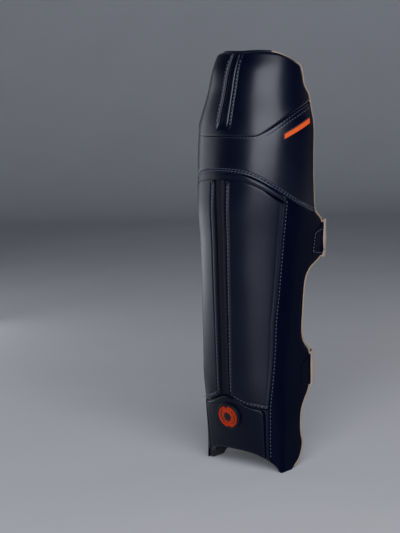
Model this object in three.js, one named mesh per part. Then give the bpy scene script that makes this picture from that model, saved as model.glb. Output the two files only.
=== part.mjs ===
import * as THREE from 'three';

// Driving sizes, in millimetres and degrees
const guardHeight = 530;
const kneeHalfWidth = 73.6; // widest half width of the padding
const kneeDepth = 82.2; // front of the padding to its widest line
const axisSweep = 22; // how far the widest line moves forward at the foot
const wingReach = 44.6; // furthest that a wing reaches behind the leg's axis
const leanAngle = 3.5; // the shin leans back so that the guard stands on its lobes
const wingTuck = 1.6; // how far a wing curls inwards at its full reach
const frontFlat = 0.16; // how much flatter than an ellipse the front is, as a share of the depth

const paddingWall = 7;
const kneeCapWall = 3.6;
const kneeBandWall = 2.8;
const shinPanelWall = 5;
const wingWall = 2.2;
const ankleWall = 2;
const stripWall = 1.8;
const rollWall = 6;
const rollHeight = 8.5;
const channelDepth = 2.4; // groove down the front of the knee cap
const softEdge = 4; // width of a panel's rounded border
const edgeWall = 1.4; // a panel's wall at its very edge

const layerGap = 0.5; // between two layers
const seamGap = 0.45; // between two panels side by side
const pipingRadius = 1.5;
const pipingGap = 0.9;
const pipingEndTurn = 50; // degrees from the front, where the piping ends on the upper rim

const strapWall = 2.2;
const strapLap = 16; // length of a strap's end on the wing
const strapLapTaper = 0.62; // height of that end, as a share of the strap
const upperStrapHeight = 50;
const lowerStrapHeight = 46;
const upperStrapReach = 25; // from the wings' edge back to the strap's middle
const lowerStrapReach = 24;
const strapPass = 6; // how far a strap runs straight past the wing's edge

const emblemRadius = 17.6;
const emblemThickness = 2.8;
const emblemBevel = 1.2;
const discRadius = 15;
const discThickness = 1.1;
const tagLength = 36;
const tagHeight = 6;
const tagThickness = 1.2;
const tagBaseBorder = 1.4;
const tagBaseThickness = 1;
const tagSlope = 25.5;

// Sections of the leg form. level is a share of guardHeight, halfWidth of
// kneeHalfWidth, depth of kneeDepth and axis of axisSweep.
const formSections = [
  { level: 0.0, halfWidth: 0.822, depth: 0.253, axis: -1.0 },
  { level: 0.057, halfWidth: 0.818, depth: 0.321, axis: -0.955 },
  { level: 0.113, halfWidth: 0.821, depth: 0.432, axis: -0.873 },
  { level: 0.189, halfWidth: 0.794, depth: 0.586, axis: -0.782 },
  { level: 0.283, halfWidth: 0.79, depth: 0.679, axis: -0.636 },
  { level: 0.377, halfWidth: 0.817, depth: 0.76, axis: -0.482 },
  { level: 0.472, halfWidth: 0.839, depth: 0.849, axis: -0.309 },
  { level: 0.566, halfWidth: 0.886, depth: 0.937, axis: -0.118 },
  { level: 0.66, halfWidth: 0.966, depth: 1.005, axis: -0.027 },
  { level: 0.755, halfWidth: 1.003, depth: 1.0, axis: 0.0 },
  { level: 0.83, halfWidth: 0.996, depth: 0.944, axis: 0.0 },
  { level: 0.906, halfWidth: 0.862, depth: 0.84, axis: 0.091 },
  { level: 0.962, halfWidth: 0.807, depth: 0.756, axis: 0.136 },
  { level: 1.0, halfWidth: 0.745, depth: 0.649, axis: 0.182 },
];

// Rear edge of the wings, with a lobe at the floor and one at each strap.
// reach is a share of wingReach, measured back from the leg's axis.
const wingEdge = [
  { level: 0.0, reach: -0.114 },
  { level: 0.0075, reach: -0.034 },
  { level: 0.019, reach: 0.17 },
  { level: 0.034, reach: 0.284 },
  { level: 0.057, reach: 0.352 },
  { level: 0.075, reach: 0.273 },
  { level: 0.113, reach: 0.227 },
  { level: 0.14, reach: 0.285 },
  { level: 0.165, reach: 0.48 },
  { level: 0.186, reach: 0.68 },
  { level: 0.232, reach: 0.675 },
  { level: 0.278, reach: 0.66 },
  { level: 0.297, reach: 0.42 },
  { level: 0.318, reach: 0.29 },
  { level: 0.387, reach: 0.25 },
  { level: 0.43, reach: 0.273 },
  { level: 0.464, reach: 0.345 },
  { level: 0.488, reach: 0.58 },
  { level: 0.506, reach: 1.04 },
  { level: 0.549, reach: 0.985 },
  { level: 0.595, reach: 0.89 },
  { level: 0.606, reach: 0.7 },
  { level: 0.617, reach: 0.52 },
  { level: 0.632, reach: 0.43 },
  { level: 0.657, reach: 0.36 },
  { level: 0.702, reach: 0.266 },
  { level: 0.774, reach: 0.205 },
  { level: 0.83, reach: 0.205 },
  { level: 0.88, reach: 0.22 },
  { level: 0.892, reach: 0.264 },
  { level: 0.921, reach: 0.082 },
  { level: 0.943, reach: 0.055 },
  { level: 0.966, reach: 0.0 },
];

// Rims and seams round the leg. turn is in degrees from the front, level a
// share of guardHeight.
const lowerRim = [
  { turn: 0, level: 0.0475 },
  { turn: 14, level: 0.0472 },
  { turn: 28, level: 0.0445 },
  { turn: 43, level: 0.0374 },
  { turn: 51, level: 0.0321 },
  { turn: 59, level: 0.0262 },
  { turn: 66, level: 0.0194 },
  { turn: 72, level: 0.0113 },
  { turn: 79, level: 0.0 },
  { turn: 88, level: 0.0 },
];
const upperRim = [
  { turn: 0, level: 1.0 },
  { turn: 41, level: 1.0 },
  { turn: 60, level: 0.994 },
  { turn: 76, level: 0.981 },
  { turn: 88, level: 0.966 },
  { turn: 100, level: 0.953 },
];
const kneeCapSeam = [
  { turn: 0, level: 0.808 },
  { turn: 30, level: 0.807 },
  { turn: 37, level: 0.808 },
  { turn: 44.6, level: 0.8164 },
  { turn: 59, level: 0.8368 },
  { turn: 76, level: 0.8594 },
  { turn: 97, level: 0.88 },
  { turn: 120, level: 0.892 },
];
const kneeBandSeam = [
  { turn: 0, level: 0.7225 },
  { turn: 12, level: 0.722 },
  { turn: 23, level: 0.7195 },
  { turn: 32.6, level: 0.714 },
  { turn: 42.5, level: 0.7031 },
  { turn: 52, level: 0.6893 },
  { turn: 62, level: 0.6738 },
  { turn: 72.5, level: 0.6564 },
  { turn: 84, level: 0.6391 },
  { turn: 105, level: 0.6205 },
  { turn: 130, level: 0.612 },
];
const shinFootSeam = [
  { turn: 0, level: 0.192 },
  { turn: 8, level: 0.188 },
  { turn: 20, level: 0.177 },
  { turn: 31, level: 0.168 },
  { turn: 41, level: 0.164 },
  { turn: 55, level: 0.158 },
  { turn: 70, level: 0.155 },
];

// Seams that run down the leg: turn at each level
const wingSeam = [
  { level: 0.0, turn: 55 },
  { level: 0.047, turn: 55.3 },
  { level: 0.102, turn: 56 },
  { level: 0.157, turn: 59 },
  { level: 0.211, turn: 63.5 },
  { level: 0.294, turn: 66.3 },
  { level: 0.366, turn: 65.6 },
  { level: 0.445, turn: 67.7 },
  { level: 0.59, turn: 68 },
  { level: 0.72, turn: 67.2 },
];
const channelSide = [
  { level: 0.189, turn: 8.2 },
  { level: 0.5, turn: 8.4 },
  { level: 0.81, turn: 7.4 },
  { level: 1.0, turn: 7.7 },
];

// Places, as shares of guardHeight
const footZone = 0.113; // below it rows gather towards the lower rim
const topZone = 0.892; // above it rows gather towards the upper rim
const seamZone = 0.566; // above it the wing's rows gather towards the band
const bandEdgeFoot = 0.617; // where the band meets the wings' rear edge
const bandEdgeTop = 0.88;
const upperStrapLevel = 0.549;
const lowerStrapLevel = 0.232;
const emblemLevel = 0.1345;
const channelFootLevel = 0.823;
const tagLevel = 0.8205;
const tagTurn = 76;

// Where columns of points stand: degrees round the front, then shares of the
// stretch from the last of them to the wing's edge
const frontTurns = [0, 8.5, 17, 25.5, 34, 42.5, 51, 59.5, 68];
const wingShares = [0.25, 0.5, 0.75, 1];

const quarterTurn = 90;
const settlePasses = 8; // rounds that settle a point whose turn and height depend on each other
const leanSlope = Math.tan(THREE.MathUtils.degToRad(leanAngle));

// A smooth or straight line through two columns of a table
function lineThrough(table, along, alongUnit, column, unit, Interpolant) {
  const places = table.map((row) => row[along] * alongUnit);
  const values = table.map((row) => row[column] * unit);
  const line = new Interpolant(places, values, 1);
  return (place) => line.evaluate(place)[0];
}

const curveOf = (table, along, alongUnit, column, unit) =>
  lineThrough(table, along, alongUnit, column, unit, THREE.CubicInterpolant);

const halfWidthAt = curveOf(formSections, 'level', guardHeight, 'halfWidth', kneeHalfWidth);
const depthAt = curveOf(formSections, 'level', guardHeight, 'depth', kneeDepth);
const axisAt = curveOf(formSections, 'level', guardHeight, 'axis', axisSweep);
const edgeReachAt = lineThrough(
  wingEdge, 'level', guardHeight, 'reach', wingReach, THREE.LinearInterpolant);
const lowerRimAt = curveOf(lowerRim, 'turn', 1, 'level', guardHeight);
const upperRimAt = curveOf(upperRim, 'turn', 1, 'level', guardHeight);
const kneeCapSeamAt = curveOf(kneeCapSeam, 'turn', 1, 'level', guardHeight);
const kneeBandSeamAt = curveOf(kneeBandSeam, 'turn', 1, 'level', guardHeight);
const shinFootSeamAt = curveOf(shinFootSeam, 'turn', 1, 'level', guardHeight);
const wingSeamAt = curveOf(wingSeam, 'level', guardHeight, 'turn', 1);
const channelSideAt = curveOf(channelSide, 'level', guardHeight, 'turn', 1);

const mix = THREE.MathUtils.lerp;

// A point on the leg form. turn is the angle round the leg from the front, in
// degrees, and past a quarter turn each unit is a millimetre straight back.
// off is the distance outwards from the padding's face.
function onForm(turn, height, off) {
  const side = turn < 0 ? -1 : 1;
  const size = Math.abs(turn);
  const halfWidth = halfWidthAt(height);
  const depth = depthAt(height);
  const axis = axisAt(height);
  const angle = THREE.MathUtils.degToRad(Math.min(size, quarterTurn));
  const back = Math.max(size - quarterTurn, 0);
  const tuck = wingTuck * (back / wingReach) ** 2;
  const normal = back > 0
    ? new THREE.Vector2(1, (2 * tuck) / back)
    : new THREE.Vector2(Math.sin(angle) / halfWidth, -Math.cos(angle) / depth);
  normal.setLength(off);
  const flatter = 1 + frontFlat / 2 - frontFlat * Math.cos(angle) ** 2;
  const x = halfWidth * Math.sin(angle) - tuck + normal.x;
  const y = axis - depth * Math.cos(angle) * flatter + back + normal.y;
  return new THREE.Vector3(side * x, y + leanSlope * height, height);
}

// The turn at which the wing ends at a height
function rearTurnAt(height) {
  const behind = edgeReachAt(height) - axisAt(height);
  if (behind >= 0) return quarterTurn + behind;
  return quarterTurn + THREE.MathUtils.radToDeg(Math.asin(behind / depthAt(height)));
}

// A distance round the leg turned into degrees at the front
function turnFor(distance, height) {
  return THREE.MathUtils.radToDeg(distance / halfWidthAt(height));
}

const floorAt = (turn) => Math.max(0, lowerRimAt(Math.abs(turn)));
const roofAt = (turn) => upperRimAt(Math.abs(turn));

// Rows that run from the lower rim to the upper rim, level between them
function wholeHeightAt(turn, level) {
  const low = footZone * guardHeight;
  const high = topZone * guardHeight;
  const height = level * guardHeight;
  if (height < low) return mix(floorAt(turn), low, height / low);
  if (height <= high) return height;
  const share = (height - high) / (wingEdge.at(-1).level * guardHeight - high);
  return mix(high, roofAt(turn), share);
}

// The turn and height of a point that lies a share of the way to the wing's
// edge, on the row that heightOf gives
function towardsEdge(startOf, share, heightOf) {
  let turn = quarterTurn;
  let height = heightOf(turn);
  for (let pass = 0; pass < settlePasses; pass += 1) {
    turn = mix(startOf(height), rearTurnAt(height), share);
    height = heightOf(turn);
  }
  return { turn, height };
}

// A closed wall over a grid of columns and rows. at gives the point for a
// column, a row and a face, 0 for the inner one and 1 for the outer one.
function wall(columns, rows, at) {
  const points = [];
  const faces = [];
  const across = columns.length;
  const down = rows.length;
  for (const face of [0, 1]) {
    for (const row of rows) {
      for (const column of columns) points.push(at(column, row, face));
    }
  }
  const index = (c, r, face) => (face * down + r) * across + c;
  const quad = (a, b, c, d) => faces.push(a, b, c, a, c, d);
  for (let r = 0; r + 1 < down; r += 1) {
    for (let c = 0; c + 1 < across; c += 1) {
      quad(index(c, r, 1), index(c + 1, r, 1), index(c + 1, r + 1, 1), index(c, r + 1, 1));
      quad(index(c, r, 0), index(c, r + 1, 0), index(c + 1, r + 1, 0), index(c + 1, r, 0));
    }
  }
  const last = across - 1;
  const top = down - 1;
  for (let r = 0; r + 1 < down; r += 1) {
    quad(index(0, r, 0), index(0, r, 1), index(0, r + 1, 1), index(0, r + 1, 0));
    quad(index(last, r, 1), index(last, r, 0), index(last, r + 1, 0), index(last, r + 1, 1));
  }
  for (let c = 0; c + 1 < across; c += 1) {
    quad(index(c, 0, 0), index(c + 1, 0, 0), index(c + 1, 0, 1), index(c, 0, 1));
    quad(index(c, top, 1), index(c + 1, top, 1), index(c + 1, top, 0), index(c, top, 0));
  }
  return meshed(points, faces);
}

function meshed(points, faces) {
  const geometry = new THREE.BufferGeometry().setFromPoints(points);
  geometry.setIndex(faces);
  geometry.computeVertexNormals();
  return geometry;
}

function leather(color, roughness = 0.42) {
  return new THREE.MeshStandardMaterial({ color, roughness, metalness: 0 });
}

const guard = new THREE.Group();

function add(name, geometry, material) {
  const mesh = new THREE.Mesh(geometry, material);
  mesh.name = name;
  guard.add(mesh);
}

const sides = [
  { name: 'left', sign: -1 },
  { name: 'right', sign: 1 },
];

// A wall on one side of the leg. at is written for the right-hand side, and
// the left-hand side is its mirror image, with its columns in reverse.
function sideWall(sign, columns, rows, at) {
  const order = sign > 0 ? columns : [...columns].reverse();
  return wall(order, rows, (column, row, face) => {
    const point = at(column, row, face);
    point.x *= sign;
    return point;
  });
}

// Columns across the whole guard, each with its side and its place
const mirrored = (list) => [...list.map((entry) => ({ ...entry, sign: -1 })).reverse(), ...list];

function fullColumns(turns) {
  const right = turns.slice(1).map((turn) => ({ sign: 1, turn, share: 0 }));
  const wings = wingShares.map((share) => ({ sign: 1, turn: frontTurns.at(-1), share }));
  const half = [...right, ...wings];
  const left = half.map((column) => ({ ...column, sign: -1 })).reverse();
  return [...left, { sign: 1, turn: 0, share: 0 }, ...half];
}

// The turn and height of a point on a full column
function onColumn(column, heightOf) {
  if (column.share === 0) return { turn: column.turn, height: heightOf(column.turn) };
  return towardsEdge(() => column.turn, column.share, heightOf);
}

// Padding: one thick wall that the leg goes into
const edgeLevels = wingEdge.map((row) => row.level);
add(
  'inner_padding',
  wall(fullColumns(frontTurns), edgeLevels, (column, level, face) => {
    const place = onColumn(column, (turn) => wholeHeightAt(turn, level));
    return onForm(column.sign * place.turn, place.height, face === 1 ? 0 : -paddingWall);
  }),
  leather(0x0d0d14, 0.85),
);

// Knee cap: over the knee, with a channel down its front
const innerOff = layerGap;
const capTurns = [0, 6.2, 8.6, ...frontTurns.slice(2)];
const capRows = [0, 0.06, 0.15, 0.28, 0.42, 0.56, 0.7, 0.86, 0.96, 1];
add(
  'knee_cap',
  wall(fullColumns(capTurns), capRows, (column, share, face) => {
    const heightOf = (turn) => mix(kneeCapSeamAt(turn) + seamGap / 2, roofAt(turn), share);
    const place = onColumn(column, heightOf);
    const aboveFoot = place.height > channelFootLevel * guardHeight;
    const inChannel = aboveFoot && place.turn < channelSideAt(place.height);
    const rim = share === 0 || share === 1;
    let outer = rim ? kneeCapWall / 2 : kneeCapWall;
    if (inChannel) outer = kneeCapWall - channelDepth;
    return onForm(column.sign * place.turn, place.height, innerOff + (face === 1 ? outer : 0));
  }),
  leather(0x15151f),
);

// Knee band: below the cap, down to the arch over the shin
const bandEdgeLevels = edgeLevels.filter((level) => level >= bandEdgeFoot && level <= bandEdgeTop);
const bandMiddles = [0.68, 0.738, 0.802, 0.855, 0.87];
const bandRows = [...bandEdgeLevels, ...bandMiddles]
  .map((level) => (level - bandEdgeFoot) / (bandEdgeTop - bandEdgeFoot))
  .sort((a, b) => a - b);
add(
  'knee_band',
  wall(fullColumns(frontTurns), bandRows, (column, share, face) => {
    const place = onColumn(column, (turn) =>
      mix(kneeBandSeamAt(turn) + seamGap / 2, kneeCapSeamAt(turn) - seamGap / 2, share));
    const outer = share === 0 ? edgeWall : kneeBandWall;
    return onForm(column.sign * place.turn, place.height, innerOff + (face === 1 ? outer : 0));
  }),
  leather(0x13131d),
);

// Ankle plate: between the wings, from the lower rim to the foot of the shin
const plateColumns = [-1, -0.83, -0.67, -0.5, -0.33, -0.17, 0, 0.17, 0.33, 0.5, 0.67, 0.83, 1];
const plateRows = [0, 0.2, 0.4, 0.6, 0.8, 1];
add(
  'ankle_plate',
  wall(plateColumns, plateRows, (column, share, face) => {
    let height = emblemLevel * guardHeight;
    let turn = 0;
    for (let pass = 0; pass < settlePasses; pass += 1) {
      turn = column * (wingSeamAt(height) - turnFor(seamGap / 2, height));
      height = mix(floorAt(turn), shinFootSeamAt(Math.abs(turn)) - seamGap / 2, share);
    }
    return onForm(turn, height, innerOff + (face === 1 ? ankleWall : 0));
  }),
  leather(0x12121b),
);

// Centre strip: the floor of the channel between the shin panels
const shinTopAt = (turn) => kneeBandSeamAt(turn) - seamGap / 2 - rollHeight;
const stripSteps = 14;
const stripRows = Array.from({ length: stripSteps + 1 }, (_, row) => row / stripSteps);
add(
  'centre_strip',
  wall([-1, 0, 1], stripRows, (column, share, face) => {
    const foot = shinFootSeamAt(0) + seamGap / 2;
    const top = kneeBandSeamAt(0) - seamGap / 2;
    const height = mix(foot, top, share);
    const turn = column * (channelSideAt(height) - turnFor(seamGap / 2, height));
    return onForm(turn, height, innerOff + (face === 1 ? stripWall : 0));
  }),
  leather(0x0c0c15, 0.5),
);

const panelColumns = [0, 0.05, 0.16, 0.29, 0.43, 0.57, 0.71, 0.84, 0.95, 1];
const panelSteps = 15;
const panelMiddles = Array.from({ length: panelSteps }, (_, row) => (row + 0.6) / (panelSteps + 0.2));
const panelRows = [0, 0.01, ...panelMiddles, 0.99, 1];
const rollColumns = [0, 0.125, 0.25, 0.375, 0.5, 0.625, 0.75, 0.875, 1];
const rollRows = [0, 0.3, 0.7, 1];
const wingColumns = [0, 0.13, 0.27, 0.42, 0.6, 0.8, 1];
const wingLevels = edgeLevels.filter((level) => level <= bandEdgeFoot);

// Moves a share near an edge to the distance of the rounded border
function borderShare(share, list, length) {
  const near = softEdge / length;
  if (share === list[1]) return near;
  if (share === list.at(-2)) return 1 - near;
  return share;
}

for (const { name, sign } of sides) {
  // Shin panel: a thick pad with rounded borders
  add(
    `shin_panel_${name}`,
    sideWall(sign, panelColumns, panelRows, (column, row, face) => {
      let height = seamZone * guardHeight;
      let turn = 0;
      for (let pass = 0; pass < settlePasses; pass += 1) {
        const inner = channelSideAt(height) + turnFor(seamGap / 2, height);
        const outer = wingSeamAt(height) - turnFor(seamGap / 2, height);
        const width = THREE.MathUtils.degToRad(outer - inner) * halfWidthAt(height);
        turn = mix(inner, outer, borderShare(column, panelColumns, width));
        const foot = shinFootSeamAt(turn) + seamGap / 2;
        const top = shinTopAt(turn) - seamGap;
        height = mix(foot, top, borderShare(row, panelRows, top - foot));
      }
      const rim = column === 0 || column === 1 || row === 0 || row === 1;
      const outer = rim ? edgeWall : shinPanelWall;
      return onForm(turn, height, innerOff + (face === 1 ? outer : 0));
    }),
    leather(0x14141f),
  );

  // Arch roll: the padded fold under the knee band
  add(
    `arch_roll_${name}`,
    sideWall(sign, rollColumns, rollRows, (column, row, face) => {
      let height = kneeBandSeamAt(0);
      let turn = 0;
      for (let pass = 0; pass < settlePasses; pass += 1) {
        const inner = channelSideAt(height) + turnFor(seamGap / 2, height);
        const outer = wingSeamAt(height) - turnFor(seamGap / 2, height);
        turn = mix(inner, outer, column);
        height = mix(shinTopAt(turn), kneeBandSeamAt(turn) - seamGap / 2, row);
      }
      const rim = column === 0 || column === 1 || row === 0 || row === 1;
      const outer = rim ? edgeWall : rollWall;
      return onForm(turn, height, innerOff + (face === 1 ? outer : 0));
    }),
    leather(0x13131d),
  );

  // Wing: the side leather, from the shin to the rear edge
  const seamHeight = seamZone * guardHeight;
  const wingHeightAt = (turn, level) => {
    const height = level * guardHeight;
    if (height < footZone * guardHeight) return wholeHeightAt(turn, level);
    if (height <= seamHeight) return height;
    const share = (height - seamHeight) / (bandEdgeFoot * guardHeight - seamHeight);
    return mix(seamHeight, kneeBandSeamAt(turn) - seamGap / 2, share);
  };
  add(
    `wing_${name}`,
    sideWall(sign, wingColumns, wingLevels, (column, level, face) => {
      const start = (height) => wingSeamAt(height) + turnFor(seamGap / 2, height);
      const place = towardsEdge(start, column, (turn) => wingHeightAt(turn, level));
      return onForm(place.turn, place.height, innerOff + (face === 1 ? wingWall : 0));
    }),
    leather(0x101019),
  );
}

// A cord of round section along a list of points
function cordAlong(points, radius, steps) {
  const section = new THREE.Shape();
  const corners = 6;
  for (let corner = 0; corner < corners; corner += 1) {
    const angle = (corner / corners) * 2 * Math.PI;
    const at = [radius * Math.cos(angle), radius * Math.sin(angle)];
    if (corner === 0) section.moveTo(...at);
    else section.lineTo(...at);
  }
  const extrudePath = new THREE.CatmullRomCurve3(points, false, 'centripetal');
  return new THREE.ExtrudeGeometry(section, { steps, bevelEnabled: false, extrudePath });
}

// Edge piping: a cord behind the rear edge of each wing and round the upper
// corner, clear of the rims
const pipingOff = innerOff + wingWall - pipingRadius;
const pipingClear = pipingRadius + pipingGap;
const pipingTopTurns = [82, 74, 66, 58, pipingEndTurn];
function pipingPoints() {
  const rim = wingEdge.map((row) => {
    const height = row.level * guardHeight;
    return new THREE.Vector2(rearTurnAt(height), height);
  });
  const behind = rim.map((point, index) => {
    const before = rim[Math.max(index - 1, 0)];
    const after = rim[Math.min(index + 1, rim.length - 1)];
    const along = after.clone().sub(before).normalize();
    const height = Math.max(point.y - along.x * pipingClear, pipingRadius);
    return onForm(point.x + along.y * pipingClear, height, pipingOff);
  });
  const above = pipingTopTurns.map((turn) => onForm(turn, roofAt(turn) + pipingClear, pipingOff));
  return [...behind.slice(1), ...above];
}
for (const { name, sign } of sides) {
  const points = pipingPoints().map((point) => new THREE.Vector3(sign * point.x, point.y, point.z));
  add(`edge_piping_${name}`, cordAlong(points, pipingRadius, 68), leather(0x6f655c, 0.6));
}

// Top binding: a cord along the front of the upper rim, between the pipings
const bindingEndTurn = pipingEndTurn - turnFor(2 * layerGap, guardHeight);
const bindingShares = [0, 0.2, 0.4, 0.6, 0.8, 1];
const bindingPoints = mirrored(bindingShares.map((share) => ({ sign: 1, share })))
  .filter(({ sign, share }) => sign > 0 || share > 0)
  .map(({ sign, share }) => {
    const turn = share * bindingEndTurn;
    return onForm(sign * turn, roofAt(turn) + pipingClear, pipingOff);
  });
add('top_binding', cordAlong(bindingPoints, pipingRadius, 14), leather(0x14141d, 0.5));

// Straps: each laps onto the wings and runs round behind the leg
const strapInner = innerOff + wingWall + layerGap;
function strap(level, height, reach) {
  const middle = level * guardHeight;
  const lapEnd = rearTurnAt(middle);
  const lapColumns = [lapEnd - strapLap, lapEnd - strapLap / 2, lapEnd].map((turn) => ({ turn }));
  const arcColumns = [0, 14, 28, 43, 58, 74].map((angle) => ({ turn: lapEnd + strapPass, angle }));
  const half = [...lapColumns, ...arcColumns];
  const rightToLeft = half.map((column) => ({ ...column, sign: 1 }));
  const back = { turn: lapEnd + strapPass, angle: quarterTurn, sign: 1 };
  const leftSide = half.map((column) => ({ ...column, sign: -1 })).reverse();
  return wall([...rightToLeft, back, ...leftSide], [-0.5, 0, 0.5], (column, row, face) => {
    const lapped = Math.min(1, Math.max(0, (lapEnd - column.turn) / strapLap));
    const rise = height * row * mix(1, strapLapTaper, lapped);
    const off = strapInner + (face === 1 ? strapWall : 0);
    const point = onForm(column.turn, middle + rise, off);
    if (column.angle) {
      const angle = THREE.MathUtils.degToRad(column.angle);
      point.y += (reach - strapPass + off) * Math.sin(angle);
      point.x *= Math.cos(angle);
    }
    point.x *= column.sign;
    return point;
  });
}
add('upper_strap', strap(upperStrapLevel, upperStrapHeight, upperStrapReach), leather(0x0f0f17, 0.7));
add('lower_strap', strap(lowerStrapLevel, lowerStrapHeight, lowerStrapReach), leather(0x0f0f17, 0.7));

// Emblem: a round base that fits the ankle plate, with a flat disc on it
const emblemHeight = emblemLevel * guardHeight;
const plateOff = innerOff + ankleWall + layerGap;
const emblemFoot = onForm(0, emblemHeight, plateOff);
const emblemUp = onForm(0, emblemHeight + emblemRadius, plateOff)
  .sub(onForm(0, emblemHeight - emblemRadius, plateOff))
  .normalize();
const emblemOut = emblemUp.clone().cross(new THREE.Vector3(1, 0, 0)).negate();
const emblemSides = 24;

function emblemBase() {
  const rings = [
    { radius: emblemRadius - emblemBevel, rise: emblemThickness },
    { radius: emblemRadius, rise: emblemThickness - emblemBevel },
  ];
  const points = [];
  const faces = [];
  const onPlate = (x, up) => {
    const height = emblemHeight + up * emblemUp.z;
    const turn = THREE.MathUtils.radToDeg(Math.asin(x / (halfWidthAt(height) + plateOff)));
    return onForm(turn, height, plateOff);
  };
  const lifted = (x, up, rise) =>
    emblemFoot.clone().addScaledVector(emblemUp, up).addScaledVector(emblemOut, rise)
      .add(new THREE.Vector3(x, 0, 0));
  points.push(lifted(0, 0, emblemThickness), onPlate(0, 0));
  for (const ring of [...rings, { radius: emblemRadius }]) {
    for (let corner = 0; corner < emblemSides; corner += 1) {
      const angle = (corner / emblemSides) * 2 * Math.PI;
      const x = ring.radius * Math.cos(angle);
      const up = ring.radius * Math.sin(angle);
      points.push(ring.rise === undefined ? onPlate(x, up) : lifted(x, up, ring.rise));
    }
  }
  const ringStart = (ring) => 2 + ring * emblemSides;
  for (let corner = 0; corner < emblemSides; corner += 1) {
    const next = (corner + 1) % emblemSides;
    faces.push(0, ringStart(0) + corner, ringStart(0) + next);
    for (const ring of [0, 1]) {
      const a = ringStart(ring) + corner;
      const b = ringStart(ring) + next;
      const c = ringStart(ring + 1) + next;
      const d = ringStart(ring + 1) + corner;
      faces.push(a, d, c, a, c, b);
    }
    faces.push(1, ringStart(2) + next, ringStart(2) + corner);
  }
  return meshed(points, faces);
}
add('emblem_ring', emblemBase(), leather(0x10101a, 0.45));

const discProfile = [
  new THREE.Vector2(0, 0),
  new THREE.Vector2(discRadius, 0),
  new THREE.Vector2(discRadius, discThickness),
  new THREE.Vector2(0, discThickness),
];
const disc = new THREE.LatheGeometry(discProfile, emblemSides);
const discTurn = new THREE.Matrix4().makeBasis(
  new THREE.Vector3(1, 0, 0), emblemOut, new THREE.Vector3(1, 0, 0).cross(emblemOut));
const discSeat = emblemFoot.clone().addScaledVector(emblemOut, emblemThickness + layerGap);
disc.applyMatrix4(discTurn);
disc.translate(discSeat.x, discSeat.y, discSeat.z);
add('emblem_disc', disc, leather(0xb8401c, 0.55));

// Side tag: a slanted bar on a thin base, on the right-hand side of the band
function tagWall(length, height, low, high) {
  const slope = Math.tan(THREE.MathUtils.degToRad(tagSlope));
  return wall([-0.5, -0.25, 0, 0.25, 0.5], [-0.5, 0.5], (column, row, face) => {
    const along = column * length;
    const middle = tagLevel * guardHeight;
    const turn = tagTurn + THREE.MathUtils.radToDeg(along / depthAt(middle));
    return onForm(turn, middle + along * slope + row * height, face === 1 ? high : low);
  });
}
const tagBaseLow = innerOff + kneeBandWall + layerGap;
const tagBaseHigh = tagBaseLow + tagBaseThickness;
const tagLow = tagBaseHigh + layerGap;
add(
  'side_tag_base',
  tagWall(tagLength + 2 * tagBaseBorder, tagHeight + 2 * tagBaseBorder, tagBaseLow, tagBaseHigh),
  leather(0x2b2a33, 0.6),
);
add(
  'side_tag',
  tagWall(tagLength, tagHeight, tagLow, tagLow + tagThickness),
  leather(0xe0601e, 0.5),
);

// The origin lies at the middle of the footprint, on the floor
const box = new THREE.Box3().setFromObject(guard);
guard.position.x = -(box.min.x + box.max.x) / 2;
guard.position.y = -(box.min.y + box.max.y) / 2;

export default guard;
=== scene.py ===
import bisect
import math

import bpy
from mathutils import Matrix, Vector


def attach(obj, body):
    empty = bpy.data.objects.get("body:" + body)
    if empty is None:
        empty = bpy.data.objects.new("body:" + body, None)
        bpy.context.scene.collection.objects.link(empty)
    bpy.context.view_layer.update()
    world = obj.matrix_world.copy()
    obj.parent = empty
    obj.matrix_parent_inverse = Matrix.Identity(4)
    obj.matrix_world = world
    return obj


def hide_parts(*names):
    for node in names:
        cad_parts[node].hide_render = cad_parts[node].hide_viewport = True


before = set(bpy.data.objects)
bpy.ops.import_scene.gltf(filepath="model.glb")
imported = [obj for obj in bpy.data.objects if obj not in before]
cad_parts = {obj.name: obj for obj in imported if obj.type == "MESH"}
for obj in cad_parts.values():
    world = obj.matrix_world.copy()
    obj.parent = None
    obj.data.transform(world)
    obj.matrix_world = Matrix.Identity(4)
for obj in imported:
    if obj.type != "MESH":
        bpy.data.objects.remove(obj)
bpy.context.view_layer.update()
bpy.ops.object.select_all(action="DESELECT")
print("frame loaded")

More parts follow.
